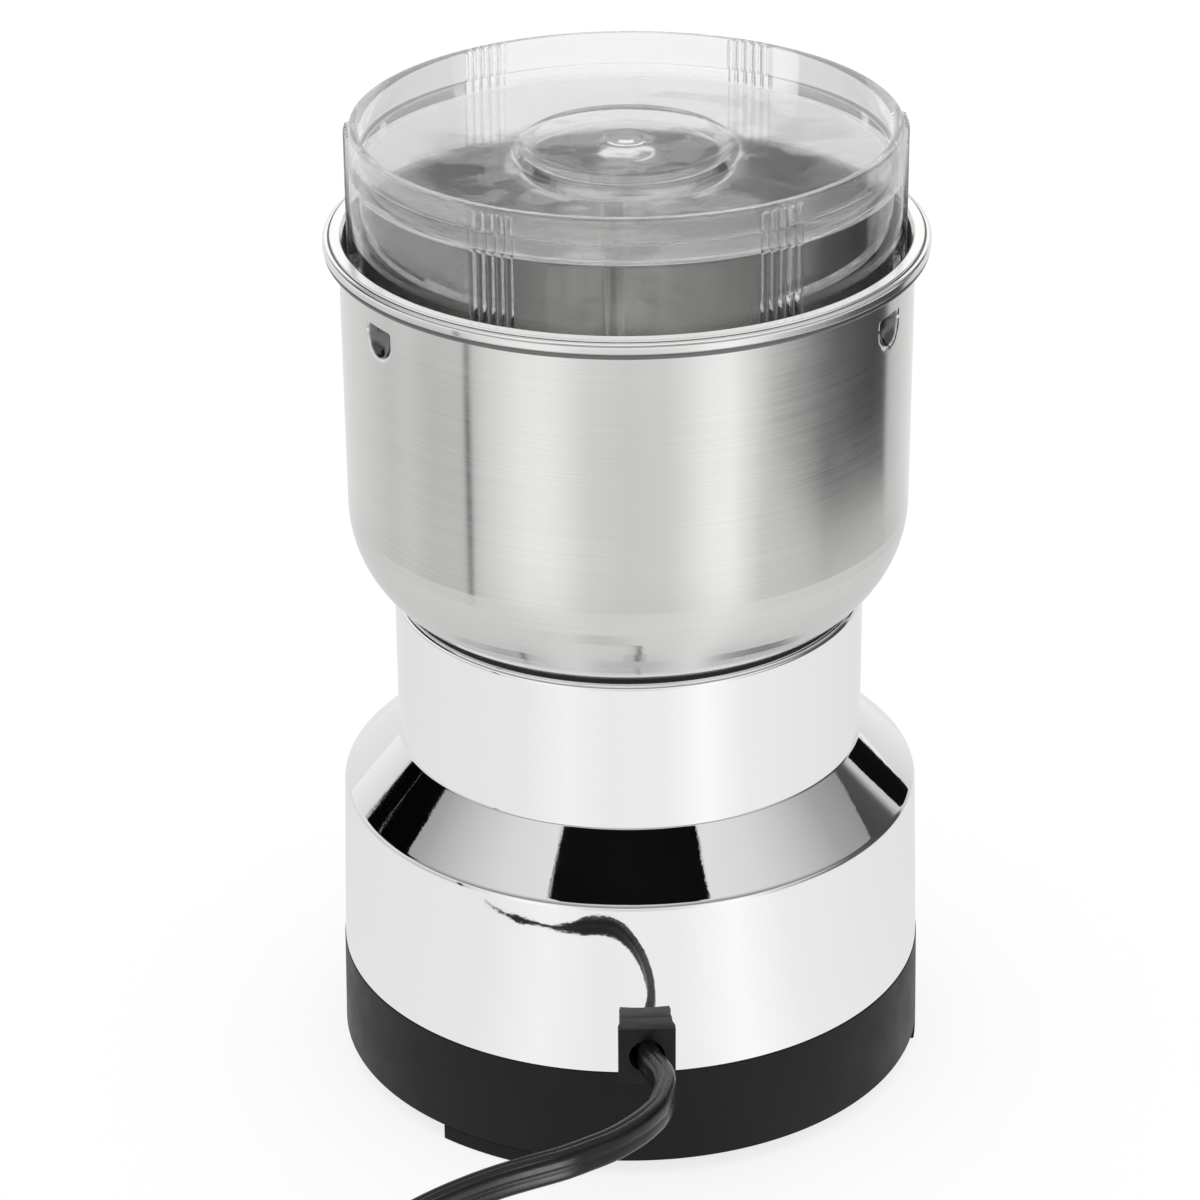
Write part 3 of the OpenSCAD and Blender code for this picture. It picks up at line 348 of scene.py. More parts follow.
relief_pvc = mottled("black_relief_pvc", (0.008, 0.008, 0.009), 0.35, 3, 0.26, 0.45, (0.007, 0.007, 0.008),
                     (0.014, 0.014, 0.015), 0.4, 0.02, detail=3, Specular_IOR_Level=0.22)
swap("strain_relief", "strain_relief_block", relief_pvc, soften=0.35, steps=3)

# --- Base ------------------------------------------------------------------------------------
# Turned cover that closes the housing from below, injection moulded in black ABS with a fine
# sparked grain. Its lip slides up inside the housing; three screws from below hold it.
base_r, seam_r, foot_h, floor_z, seam_z = 50.15, 49.85, 2.7, 5.2, 19.8
lip_r, lip_top = 47.35, 22.0
screw_at, screw_turn = 42.05, 115
peg_at, foot_turn = 43.15, 55


def lathe(name, corners, turns=256, bumps=None, sharp=40, step=6):
    """A turned piece: an outline of (radius, height) corners carried round the Z axis."""
    line = rounded(corners, step)
    angles = [math.radians(a) for a in turns] if hasattr(turns, "__len__") else [
        2 * math.pi * i / turns for i in range(turns)]
    n = len(angles)
    points, rows = [], []
    for r, z in line:
        if r < 1e-6:
            rows.append([len(points)])
            points.append((0, 0, z))
            continue
        rows.append(list(range(len(points), len(points) + n)))
        for a in angles:
            extra = bumps(r, z, a) if bumps else (0, 0)
            points.append(((r + extra[0]) * math.cos(a), (r + extra[0]) * math.sin(a), z + extra[1]))
    faces = []
    for low, high in zip(rows, rows[1:] + rows[:1]):
        if len(low) == 1 and len(high) == 1:
            continue
        for j in range(n):
            k = (j + 1) % n
            if len(low) == 1:
                faces.append((low[0], high[k], high[j]))
            elif len(high) == 1:
                faces.append((low[j], low[k], high[0]))
            else:
                faces.append((low[j], low[k], high[k], high[j]))
    return put_in_scene(name, points, faces, sharp=sharp)


def bar(low, high):
    """A closed box from its two corners, as points and faces."""
    points = [(x, y, z) for x in (low[0], high[0]) for y in (low[1], high[1]) for z in (low[2], high[2])]
    return points, [(0, 1, 3, 2), (4, 6, 7, 5), (0, 4, 5, 1), (2, 3, 7, 6), (0, 2, 6, 4), (1, 5, 7, 3)]


def prism(points):
    """A closed bar from the outlines of its two ends, one after the other, as points and faces."""
    *sides, start, end = skin(2, len(points) // 2)
    return points, [*sides, start[::-1], end]


def rod(r, z0, z1, at=(0, 0), sides=32):
    """A closed round bar on a vertical axis, as points and faces."""
    return prism([(at[0] + r * math.cos(2 * math.pi * i / sides), at[1] + r * math.sin(2 * math.pi * i / sides), z)
                  for z in (z0, z1) for i in range(sides)])


def shapes(name, *parts):
    """One object out of several closed shapes."""
    points, faces = [], []
    for some, sides in parts:
        faces += [tuple(i + len(points) for i in face) for face in sides]
        points += some
    return put_in_scene(name, points, faces)


def polar(r, degrees):
    return r * math.cos(math.radians(degrees)), r * math.sin(math.radians(degrees))


def fit(piece, other, operation="DIFFERENCE"):
    """Cuts the other shape out of the piece, or joins it on, and clears the other away."""
    step = piece.modifiers.new("fit", "BOOLEAN")
    step.operation = operation
    step.object = other
    step.solver = "EXACT"
    plain(piece)
    bpy.data.objects.remove(other)
    return piece


def copies_tree():
    """Geometry nodes: copies of the piece's own mesh, evenly round the Z axis."""
    tree = bpy.data.node_groups.new("copies_round_axis", "GeometryNodeTree")
    for name, kind in (("Shape", "Geometry"), ("Count", "Int"), ("Radius", "Float"), ("First angle", "Float"),
                       ("Finish", "Material")):
        tree.interface.new_socket(name, in_out="INPUT", socket_type="NodeSocket" + kind)
    tree.interface.new_socket("Shape", in_out="OUTPUT", socket_type="NodeSocketGeometry")
    make = tree.nodes.new
    given, result = make("NodeGroupInput"), make("NodeGroupOutput")
    circle, index = make("GeometryNodeMeshCircle"), make("GeometryNodeInputIndex")
    place, swing = make("GeometryNodeInstanceOnPoints"), make("GeometryNodeTransform")
    whole, painted = make("GeometryNodeRealizeInstances"), make("GeometryNodeSetMaterial")
    share, turned, lean = make("ShaderNodeMath"), make("ShaderNodeMath"), make("ShaderNodeMath")
    axis, first = make("ShaderNodeCombineXYZ"), make("ShaderNodeCombineXYZ")
    share.operation, turned.operation, lean.operation = "DIVIDE", "MULTIPLY", "RADIANS"
    share.inputs[0].default_value = 2 * math.pi
    for a, b in (
        (given.outputs["Count"], circle.inputs["Vertices"]), (given.outputs["Radius"], circle.inputs["Radius"]),
        (circle.outputs["Mesh"], place.inputs["Points"]), (given.outputs["Shape"], place.inputs["Instance"]),
        (given.outputs["Count"], share.inputs[1]), (share.outputs[0], turned.inputs[0]),
        (index.outputs[0], turned.inputs[1]), (turned.outputs[0], axis.inputs["Z"]),
        (axis.outputs[0], place.inputs["Rotation"]), (place.outputs[0], swing.inputs["Geometry"]),
        (given.outputs["First angle"], lean.inputs[0]), (lean.outputs[0], first.inputs["Z"]),
        (first.outputs[0], swing.inputs["Rotation"]), (swing.outputs[0], whole.inputs["Geometry"]),
        (whole.outputs[0], painted.inputs["Geometry"]), (given.outputs["Finish"], painted.inputs["Material"]),
        (painted.outputs[0], result.inputs["Shape"]),
    ):
        tree.links.new(a, b)
    return tree


round_axis = copies_tree()


def repeat(piece, tree, **values):
    """Runs a geometry nodes tree on a piece with its inputs set, and keeps the result as a plain mesh."""
    step = piece.modifiers.new(tree.name, "NODES")
    step.node_group = tree
    for socket in tree.interface.items_tree:
        key = socket.name.replace(" ", "_").lower()
        if socket.in_out == "INPUT" and key in values:
            step[socket.identifier] = values[key]
    return plain(piece)


base = lathe("base_cover", [
    (5, foot_h), (base_r, foot_h, 0.2), (seam_r, seam_z, 0.25), (lip_r, seam_z), (lip_r, lip_top, 0.3),
    (lip_r - 1.5, lip_top, 0.3), (lip_r - 1.5, 16.8), (47.75, 14.8), (47.9, floor_z), (13.2, floor_z),
    (13.2, 15), (11.2, 15), (11.2, floor_z), (11, floor_z), (11, 8), (5, 8)
])
base_black = mottled("black_base_abs", (0.010, 0.010, 0.011), 0.5, 9, 0.38, 0.52, (0.008, 0.008, 0.009),
                     (0.013, 0.013, 0.014), 0.45, 0.03, detail=3, Specular_IOR_Level=0.2)
base.data.materials.append(base_black)
fit(base, shapes("clamp_seat", bar((-9, 34.95, 4.7), (9, 41.95, 22.3))), "UNION")
cooling_slots = shapes("cooling_slots", bar((-4.5, -1.2, 1), (4.5, 1.2, 6.5)))
repeat(cooling_slots, round_axis, count=12, radius=20.5 * MM, first_angle=15.0, finish=base_black)
fit(base, cooling_slots)
holes = []
for i in range(3):
    at = polar(screw_at, screw_turn + 120 * i)
    holes += [rod(1.6, 3.5, 6.5, at), rod(3.2, 1, 4.2, at), rod(2, 1, 6.5, polar(peg_at, foot_turn + 120 * i))]
for side in (-1, 1):
    holes += [rod(1.4, 15, 26, (side * 6, 38.45)), rod(1.4, 1, 6.5, (side * 8.8, -31.4))]
holes.append(bar((-3.9, 44.3, 20.7), (3.9, seam_r, 23)))
fit(base, shapes("screw_holes", *holes))
shade(base, 35)
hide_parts("base")
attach(base, "root")

# --- Feet ------------------------------------------------------------------------------------
# Three rubber feet, each a sector of the base's edge. A peg moulded on top is pushed through a
# hole in the base's floor and holds the foot by friction.
def sector(r_in, r_out, start, end, z0, z1, steps=12):
    """A piece of a flat ring, as points and faces."""
    turns = [start + (end - start) * i / steps for i in range(steps + 1)]
    edge = [polar(r_out, a) for a in turns] + [polar(r_in, a) for a in reversed(turns)]
    return prism([(x, y, z) for z in (z0, z1) for x, y in edge])


feet = shapes("rubber_feet", sector(38.15, base_r, -7, 12.6, 0, foot_h))
edge = feet.modifiers.new("moulded_edge", "BEVEL")
edge.width, edge.segments, edge.limit_method = 0.25 * MM, 3, "ANGLE"
plain(feet)
fit(feet, shapes("peg", rod(2, foot_h - 0.3, floor_z, (peg_at, 0))), "UNION")
foot_rubber = mottled("black_foot_rubber", (0.018, 0.018, 0.018), 0.8, 1.6, 0.68, 0.88, (0.014, 0.014, 0.014),
                      (0.026, 0.026, 0.025), 0.3, 0.04, Specular_IOR_Level=0.2)
repeat(feet, round_axis, count=3, radius=0.0, first_angle=float(foot_turn), finish=foot_rubber)
shade(feet, 35)
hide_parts("feet")
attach(feet, "root")

# --- Cover screws ----------------------------------------------------------------------------
# Three zinc-plated self-tapping screws with cross-recessed pan heads. They sit in counterbores
# in the base's floor, between the feet, and cut their thread into the housing's posts.
def screw(name, head_r, head_h, shank_r, length, pitch=0.9):
    """A screw with its head's face at z = 0 and its thread pointing up."""
    thread, z = [], head_h + 0.5
    while z < length - 1.6:
        thread += [(shank_r - 0.32, z), (shank_r, z + pitch * 0.42), (shank_r, z + pitch * 0.52)]
        z += pitch
    body = lathe(name, [
        (0, 0), (head_r * 0.72, 0, 0.3), (head_r, head_h * 0.55, head_h * 0.35), (head_r, head_h, 0.15),
        (shank_r - 0.3, head_h), *thread, (shank_r - 0.5, length - 1.2), (0.25, length), (0, length)
    ], turns=24, step=15)
    w, deep = head_r * 0.16, head_h * 0.62
    cross = shapes("cross", bar((-head_r * 0.62, -w, -1), (head_r * 0.62, w, deep)))
    fit(cross, shapes("bar", bar((-w, -head_r * 0.62, -1), (w, head_r * 0.62, deep))), "UNION")
    fit(body, cross)
    shade(body, 35)
    return body


def zinc_finish(name):
    return mottled(name, (0.62, 0.63, 0.65), 0.34, 0.9, 0.24, 0.46, (0.50, 0.51, 0.54),
                   (0.72, 0.72, 0.71), 0.2, 0.012, Metallic=1.0)


screw_zinc = zinc_finish("zinc_plated_screw_steel")
cover_screws = screw("base_screws", head_r=3, head_h=1.3, shank_r=1.4, length=14.5)
cover_screws.data.transform(Matrix.Translation((0, 0, (foot_h + 0.2) * MM)))
repeat(cover_screws, round_axis, count=3, radius=screw_at * MM, first_angle=float(screw_turn), finish=screw_zinc)
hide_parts("cover_screws")
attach(cover_screws, "root")

# --- Housing ---------------------------------------------------------------------------------
# One injection moulding in ABS, vacuum plated with bright chrome: a drum for the switch and the
# motor's foot, a sloping shoulder and a neck whose web carries the cup and the motor.
housing_seam_r, drum_r, neck_r, neck_top = 49.75, 48.85, 39.3, 86.0
shoulder_z, neck_z, wall = 50.4, 59.9, 2.2
web_z, web_top = 79.55, 82.05
shoulder_drop = wall * math.tan((math.pi / 2 - math.atan2(neck_z - shoulder_z, drum_r - neck_r)) / 2)
housing = lathe("plated_housing", [
    (housing_seam_r, seam_z, 0.15), (drum_r, shoulder_z, 1.8), (neck_r, neck_z, 0.6), (neck_r, neck_top, 1),
    (37.9, neck_top), (37.9, 83.3), (neck_r - wall, 83.3), (neck_r - wall, web_top), (11.7, web_top),
    (11.7, web_z), (neck_r - wall, web_z), (neck_r - wall, neck_z - shoulder_drop, 1),
    (drum_r - wall, shoulder_z - shoulder_drop, 1), (housing_seam_r - wall, seam_z)
], turns=320, step=4)
posts = [rod(3.3, floor_z, 52.1, polar(screw_at, screw_turn + 120 * i), 40) for i in range(3)]
fit(housing, shapes("posts", *posts), "UNION")


button_z = 35


def button_outline(extra, y0, y1, steps=20):
    """The button's long round outline, extra mm larger all round, as a bar along Y."""
    r, half = 6.5 + extra, 4.5
    edge = [(end * half + r * math.cos(a), button_z + r * math.sin(a)) for end in (1, -1) for a in
            (math.pi * (i / steps - end / 2) for i in range(steps + 1))]
    return prism([(x, y, z) for y in (y0, y1) for x, z in edge])


openings = [button_outline(0.3, -54, -44.2), bar((-3.7, 43, 20.9), (3.7, 57, 29.1))]
for i in range(3):
    openings += [rod(2.2, 79, 83, polar(20, 90 + 120 * i)),
                 rod(1.4, 4.7, 19.2, polar(screw_at, screw_turn + 120 * i), 24)]
fit(housing, shapes("openings", *openings))


def turned_normals(piece, *walls):
    """Gives each turned wall the exact slope of its cone: walls are (height, radius) pairs from below."""
    mesh = piece.data
    facing = [n.vector.copy() for n in mesh.corner_normals]
    for face in mesh.polygons:
        height, across = face.center.z / MM, math.hypot(face.center.x, face.center.y) / MM
        for (z0, r0), (z1, r1) in walls:
            if z0 < height < z1 and abs(across - r0 - (height - z0) * (r1 - r0) / (z1 - z0)) < 0.1 and (
                    abs(face.normal.z) < 0.2):
                for i in face.loop_indices:
                    x, y, _ = mesh.vertices[mesh.loops[i].vertex_index].co
                    facing[i] = Vector((x * (z1 - z0), y * (z1 - z0), math.hypot(x, y) * (r0 - r1))).normalized()
    mesh.normals_split_custom_set(facing)


shade(housing, 35)
turned_normals(housing, ((20, 49.744), (48.9, 48.894)), ((60.6, 39.3), (84.9, 39.3)))
chrome = new_finish("bright_chrome_plate", (0.955, 0.955, 0.96), 0.03, Metallic=1.0)
tone = mottle(chrome, 14, detail=2)
feed(chrome, "Roughness", spread(chrome, tone, 0.015, 0.045))
relief(chrome, mottle(chrome, 11, detail=1), 0.012)
relief(chrome, mottle(chrome, 1.7, detail=4), 0.005)
housing.data.materials.append(chrome)
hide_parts("housing")
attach(housing, "root")

# --- Cup gasket ------------------------------------------------------------------------------
# Ring of black silicone in a step inside the neck's top edge. The cup's rounded bottom presses
# on it and keeps ground spice out of the housing.
cup_corner_r, cup_r, cup_z, cup_t = 19.35, 46.5, 83.05, 0.8


def under_cup(r):
    """Height of the cup's rounded underside at that radius."""
    middle = cup_r - cup_corner_r
    return cup_z + cup_corner_r - math.sqrt(cup_corner_r ** 2 - (r - middle) ** 2)


gasket = lathe("cup_seat_gasket", [
    (34.9, 83.3), (37.9, 83.3), (37.9, 86), (38.25, 86), (38.3, under_cup(38.3) - 0.05),
    *[(r, under_cup(r) - 0.03) for r in (37.9, 37.4, 36.8, 36.1, 35.5, 34.9)]
], sharp=50)
silicone = mottled("black_gasket_silicone", (0.014, 0.014, 0.014), 0.6, 2, 0.5, 0.7, (0.010, 0.010, 0.010),
                   (0.020, 0.020, 0.019), 0.4, 0.02, Specular_IOR_Level=0.3)
gasket.data.materials.append(silicone)
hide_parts("cup_gasket")
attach(gasket, "root")

# --- Grinding cup ----------------------------------------------------------------------------
# Deep-drawn and spun from one sheet of stainless steel, with a curled rim and three dents under
# it that the lid rests on. Three threaded studs on its floor are out of sight in the housing.
rim_z, stop_top = 149.5, 143.2
stop_ball, stop_z, stop_in, stop_turn = 4.42, 140.6, 44.7, 30
dent_heights = [136.2, 136.6, 137, 137.5, 138, 138.6, 139.2, 139.8, 140.4, 141, 141.6, 142.1, 142.37, 142.43, 143]


def cup_dents(r, z, turn):
    """The three lid stops, pressed in from outside by a ball-shaped punch with a flat top."""
    sheet = cup_t if r < 46.2 else 0
    if r < 45 or not 130 < z < stop_top - cup_t + sheet:
        return 0, 0
    off = (math.degrees(turn) - stop_turn + 60) % 120 - 60
    across, height = math.radians(off) * 46.7, z - stop_z
    reach = (stop_ball + sheet) ** 2 - across ** 2 - height ** 2
    return (min(0, stop_in + stop_ball - math.sqrt(reach) - r) if reach > 0 else 0), 0


turns = sorted({a * 1.5 for a in range(240)}
               | {stop_turn + 120 * i + a * 0.5 for i in range(3) for a in range(-12, 13)})
cup = lathe("grinding_cup", [
    (8, cup_z), (cup_r, cup_z, cup_corner_r), *[(46.6 + 0.0018 * (z - 102), z) for z in dent_heights],
    (46.7, 146.5, 0.12), (48.7, 146.45, 0.3), (49.05, 146.9, 0.2), (49.05, 147.25, 0.08), (48.8, 147.42, 0.06),
    (49.2, 147.62, 0.12), (49.2, 148.9, 0.6), (48.45, 149.15, 0.08), (48.3, 148.9, 0.06), (48.12, 149.15, 0.06),
    (48.05, 149.45, 0.1), (46.5, rim_z, 0.3), (45.9, 148.9, 0.3),
    *[(45.9, z + cup_t) for z in reversed(dent_heights)],
    (45.7, cup_z + cup_t, cup_corner_r - cup_t), (8, cup_z + cup_t)
], turns=turns, bumps=cup_dents, sharp=50)


def calc(made, operation, *values):
    """One step of arithmetic, repeated for every value after the second."""
    total = add(made, "Math", dict(enumerate(values[:2])), operation=operation)
    for value in values[2:]:
        total = add(made, "Math", {0: total, 1: value}, operation=operation)
    return total


def spot(made):
    """The point on the piece, as its X, Y and Z."""
    return add(made, "SeparateXYZ", {"Vector": add(made, "TexCoord").node.outputs["Object"]}).node.outputs


def from_axis(made, at):
    """How far a point is from the Z axis."""
    return calc(made, "SQRT", calc(made, "ADD", calc(made, "MULTIPLY", at["X"], at["X"]),
                                   calc(made, "MULTIPLY", at["Y"], at["Y"])))


def darken(made, share):
    """Multiplies the colour that a finish has so far."""
    colour = made.node_tree.nodes["Principled BSDF"].inputs["Base Color"].links[0].from_socket
    feed(made, "Base Color", add(made, "VectorMath", {0: colour, "Scale": share}, operation="SCALE"))


def steel_finish(name, tone, low, high, lines_height):
    """Stainless steel with the fine rings that spinning leaves: tone, then its range of roughness."""
    made = new_finish(name, (tone, tone, tone * 0.985), low, Metallic=1.0, Anisotropic=0.93,
                      Anisotropic_Rotation=0.25)
    feed(made, "Tangent", add(made, "Tangent", direction_type="RADIAL", axis="Z"))
    rings = mottle(made, 1, place_on(made, (0.02, 0.02, 5)), detail=3, sharpness=0.6)
    feed(made, "Roughness", calc(made, "ADD", spread(made, rings, low, high),
                                 spread(made, mottle(made, 9, detail=3), 0, 0.03)))
    feed(made, "Base Color", tint(made, rings, *[(at, (v, v, v * 0.985)) for at, v in (
        (0.25, tone * 0.96), (0.5, tone), (0.75, min(1, tone * 1.04)))]))
    relief(made, rings, lines_height)
    return made


steel = steel_finish("spun_stainless_steel", 0.80, 0.11, 0.14, 0.0012)
# Painted shade on the outside steel: inside the three dents (the pressed mask) its colour drops to about a fifth,
# and it darkens towards the cup's rounded bottom.
at = spot(steel)
pressed = calc(steel, "MULTIPLY", spread(steel, from_axis(steel, at), 0.78, 0.0, 46.25 * MM, 46.55 * MM),
               calc(steel, "GREATER_THAN", at["Z"], 132 * MM))
lower_painted_shade = spread(steel, at["Z"], 0.8, 1.0, 90 * MM, 110 * MM)
darken(steel, calc(steel, "MULTIPLY", lower_painted_shade, calc(steel, "SUBTRACT", 1.0, pressed)))
rim_steel = steel_finish("polished_rim_steel", 0.86, 0.09, 0.13, 0.0006)
# Painted shade: a dark steel put under the curled rim and in the groove on its top, where shade falls.
rim_shade_steel = steel_finish("unpolished_steel", 0.20, 0.24, 0.32, 0.003)
inner_steel = steel_finish("spun_steel_inside", 0.84, 0.14, 0.2, 0.002)
# Painted shade inside the cup: the steel darkens towards the floor, and more than about 21 mm to either side in X it
# darkens towards the side walls.
at = spot(inner_steel)
deep_painted_shade = spread(inner_steel, at["Z"], 0.7, 1.0, 100 * MM, 138 * MM)
sideways = calc(inner_steel, "ABSOLUTE", calc(inner_steel, "ADD", at["X"], 2 * MM))
side_painted_shade = spread(inner_steel, sideways, 1.0, 0.62, 21 * MM, 25 * MM)
darken(inner_steel, calc(inner_steel, "MULTIPLY", deep_painted_shade, side_painted_shade))
for made in (steel, rim_steel, rim_shade_steel, inner_steel):
    cup.data.materials.append(made)
# Faces under the curled rim and in the groove on its top take the dark steel of painted shade, the rest of the rim
# the polished steel, and the inside wall its own steel.
for face in cup.data.polygons:
    across, height = math.hypot(face.center.x, face.center.y) / MM, face.center.z / MM
    outside = face.normal.xy.dot(face.center.xy) > 0
    if height > 146.4:
        in_rim_shade = (across > 46.8 and height < 147.35) or (across < 48.5 and across > 48.1 and height < 149.1)
        face.material_index = 2 if in_rim_shade else 1
    elif not outside and height > cup_z + cup_t - 0.01:
        face.material_index = 3
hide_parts("cup")
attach(cup, "root")

# --- Lid -------------------------------------------------------------------------------------
# Moulded in one piece from clear acrylic: an open ring above a disc with a raised middle, where
# the gate was, and six groups of five grip ribs outside. Its lower edge rests on the cup's stops.
lid_r, lid_top, disc_z, disc_t, boss_h = 44.5, 167.6, 160.2, 2.4, 1.8
rib_r, rib_at, rib_pitch, rib_low, rib_high = 0.6, 44.7, 2.05, 144.0, 166.8
rib_turns = [-0.6 + 60 * group + (i - 2) * rib_pitch for group in range(6) for i in range(5)]


def lid_shape(r, z, turn):
    """The ribs on the outside, and the slight waves of the disc as it shrank in the mould."""
    degrees = math.degrees(turn)
    if r > lid_r - 0.01 and rib_low <= z <= rib_high:
        off = min(abs((degrees - a + 180) % 360 - 180) for a in rib_turns)
        across = math.radians(off) * rib_at
        if across <= rib_r + 0.001:
            return rib_at - lid_r + math.sqrt(max(0, rib_r ** 2 - across ** 2)), 0
        return 0, 0
    if r < 42 and 158 < z < 166:
        at = Vector((r * math.cos(turn), r * math.sin(turn), 3 * z)) / 9
        edge = ease(r, 1.5, 7) * (1 - ease(r, 38, 42))
        return 0, 0.05 * noise.noise(at) * edge
    return 0, 0


turns = {t for t in range(0, 360, 2) if all(abs((t - a + 180) % 360 - 180) > 0.95 for a in rib_turns)}
turns |= {round((a + math.degrees(s / rib_at)) % 360, 4) for a in rib_turns
          for s in (-0.63, -0.6, -0.5, -0.25, 0, 0.25, 0.5, 0.6, 0.63)}
inner_r, lower_r, boss_r = 42.7, 43.0, 16.75
boss_under, disc_top, boss_top = disc_z + boss_h, disc_z + disc_t, disc_z + disc_t + boss_h
across_disc = range(38, 19, -3)
lid = lathe("clear_lid", [
    *[(r, boss_under) for r in (0, 4, 8, 12)], (boss_r - 1.2, boss_under, 1.2), (boss_r + 0.3, disc_z, 1.4),
    *[(r, disc_z) for r in reversed(across_disc)], (lower_r, disc_z, 1),
    (lower_r, stop_top, 0.2), (lid_r, stop_top, 0.25), (lid_r, rib_low - 0.02), (lid_r, rib_low),
    (lid_r, rib_high), (lid_r, rib_high + 0.02), (lid_r, lid_top, 0.5), (inner_r, lid_top, 0.8),
    (inner_r, disc_top, 0.8), *[(r, disc_top) for r in across_disc],
    (boss_r + 1.6, disc_top, 1.6), (boss_r - 0.2, boss_top, 1.4), (12, boss_top), (8, boss_top),
    (3.7, boss_top, 0.1), (3.4, boss_top + 0.3, 0.2), (2.9, boss_top + 0.3, 0.2),
    (2.4, boss_top - 0.6, 0.3), (1.5, boss_top - 0.6, 0.3), (1.1, boss_top + 0.1, 0.3), (0, boss_top + 0.1)
], turns=sorted(turns), bumps=lid_shape, sharp=40, step=9)


def show_as(made, shader):
    """Puts a shader on the surface."""
    made.node_tree.links.new(shader, made.node_tree.nodes["Material Output"].inputs["Surface"])


acrylic = new_finish("clear_lid_acrylic", (0.92, 0.92, 0.92), 0.02, IOR=1.49, Transmission_Weight=1.0)
tone = mottle(acrylic, 12, detail=2)
feed(acrylic, "Roughness", spread(acrylic, tone, 0.0, 0.03))
relief(acrylic, mottle(acrylic, 7, detail=2), 0.012)
ray = add(acrylic, "LightPath").node.outputs
inside = calc(acrylic, "GREATER_THAN", ray["Glossy Depth"], 0.5)
at = spot(acrylic)
thin = tint(acrylic, calc(acrylic, "DIVIDE", from_axis(acrylic, at), 50 * MM), *[(r / 50, share) for r, share in (
    (0, 0.1), (4.2, 0.1), (5, 0.75), (14.6, 0.75), (15.6, 0.4), (19, 0.45), (20, 0.75), (41.4, 0.75), (42.6, 0.35))])
far_wall = calc(acrylic, "MULTIPLY", calc(acrylic, "LESS_THAN", at["Z"], 159.5 * MM),
                calc(acrylic, "LESS_THAN", at["Y"], 0.0), 0.8)
clear_share = calc(acrylic, "MAXIMUM", ray["Is Shadow Ray"], inside, thin, far_wall)
clear = add(acrylic, "BsdfTransparent", {"Color": (0.955, 0.955, 0.955, 1)})
body = acrylic.node_tree.nodes["Principled BSDF"].outputs[0]
show_as(acrylic, add(acrylic, "MixShader", {0: clear_share, 1: body, 2: clear}))
lid.data.materials.append(acrylic)
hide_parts("lid")
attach(lid, "lid")

# --- Push button -----------------------------------------------------------------------------
# Long round key moulded in black ABS, its face curved like the drum. It slides in an opening of
# the housing, held by a flange inside, and its post pushes the switch.
button_black = mottled("black_button_abs", (0.012, 0.012, 0.013), 0.32, 5, 0.24, 0.42, (0.009, 0.009, 0.010),
                       (0.015, 0.015, 0.016), 0.5, 0.02, Specular_IOR_Level=0.45)
swap("push_button", "push_button_key", button_black, "button", soften=0.4, steps=3)

# --- Cup pad and mount nuts ------------------------------------------------------------------
# Die-cut rubber pad under the cup's floor, and the three zinc-plated nuts below the housing's
# web that clamp cup, pad and web together on the cup's studs.
def finish(name, dark, bright, low, high, grain=3.0, lines=(1, 1, 1), height=0.02, **sockets):
    """A finish whose tone runs from dark to bright in patches, stretched into lines where given."""
    made = new_finish(name, [(a + b) / 2 for a, b in zip(dark, bright)], (low + high) / 2, **sockets)
    tone = mottle(made, grain, place_on(made, lines))
    feed(made, "Base Color", tint(made, tone, (0.3, dark), (0.7, bright)))
    feed(made, "Roughness", spread(made, mottle(made, grain * 1.7, place_on(made, lines), detail=5), low, high))
    relief(made, mottle(made, grain / 6, place_on(made, lines)), height)
    return made


pad_rubber = finish("grey_pad_rubber", (0.020, 0.020, 0.021), (0.036, 0.035, 0.034), 0.62, 0.85, 1.8, height=0.04)
swap("cup_pad", "cup_seat_pad", pad_rubber)
nut_zinc = zinc_finish("zinc_plated_nut_steel")
swap("mount_nuts", "cup_mount_nuts", nut_zinc, soften=0.25)

# --- Shaft bush and felt ---------------------------------------------------------------------
# Rubber bush that closes the hole in the cup's floor round the motor's shaft, and an oiled felt
# washer on top of it that keeps ground spice out of the bearing.
bush_rubber = finish("black_bush_rubber", (0.016, 0.016, 0.016), (0.028, 0.028, 0.027), 0.55, 0.8, 1.4, height=0.03)
swap("shaft_bush", "shaft_bush_seal", bush_rubber)
felt = finish("oiled_wool_felt", (0.30, 0.28, 0.24), (0.50, 0.47, 0.41), 0.85, 0.98, 0.7, height=0.12,
              Specular_IOR_Level=0.15, Sheen_Weight=0.4)
relief(felt, mottle(felt, 0.12, detail=5, sharpness=0.7), 0.08)
swap("felt_washer", "felt_shaft_washer", felt, "root", 0.15)

# --- Blade -----------------------------------------------------------------------------------
# Two-winged blade stamped from hardened stainless strip, bent up at the ends and ground on its
# leading edges. A domed nut holds it on the flats of the motor's shaft.
def steel_part(name, grain=1.2, lines=(1, 1, 1), dark=(0.46, 0.46, 0.47), bright=(0.66, 0.66, 0.65), height=0.01):
    return finish(name, dark, bright, 0.24, 0.42, grain, lines, height, Metallic=1.0)


blade_steel = steel_part("ground_blade_steel", 0.9, (0.08, 1, 1), (0.55, 0.55, 0.55), (0.76, 0.76, 0.75), 0.008)
swap("blade", "grinding_blade", blade_steel, "rotor", 0.15, 30)
nut_steel = steel_part("turned_nut_steel", 0.8, (1, 1, 6), (0.52, 0.52, 0.52), (0.74, 0.74, 0.73))
swap("blade_nut", "blade_lock_nut", nut_steel, "rotor", 0.25)

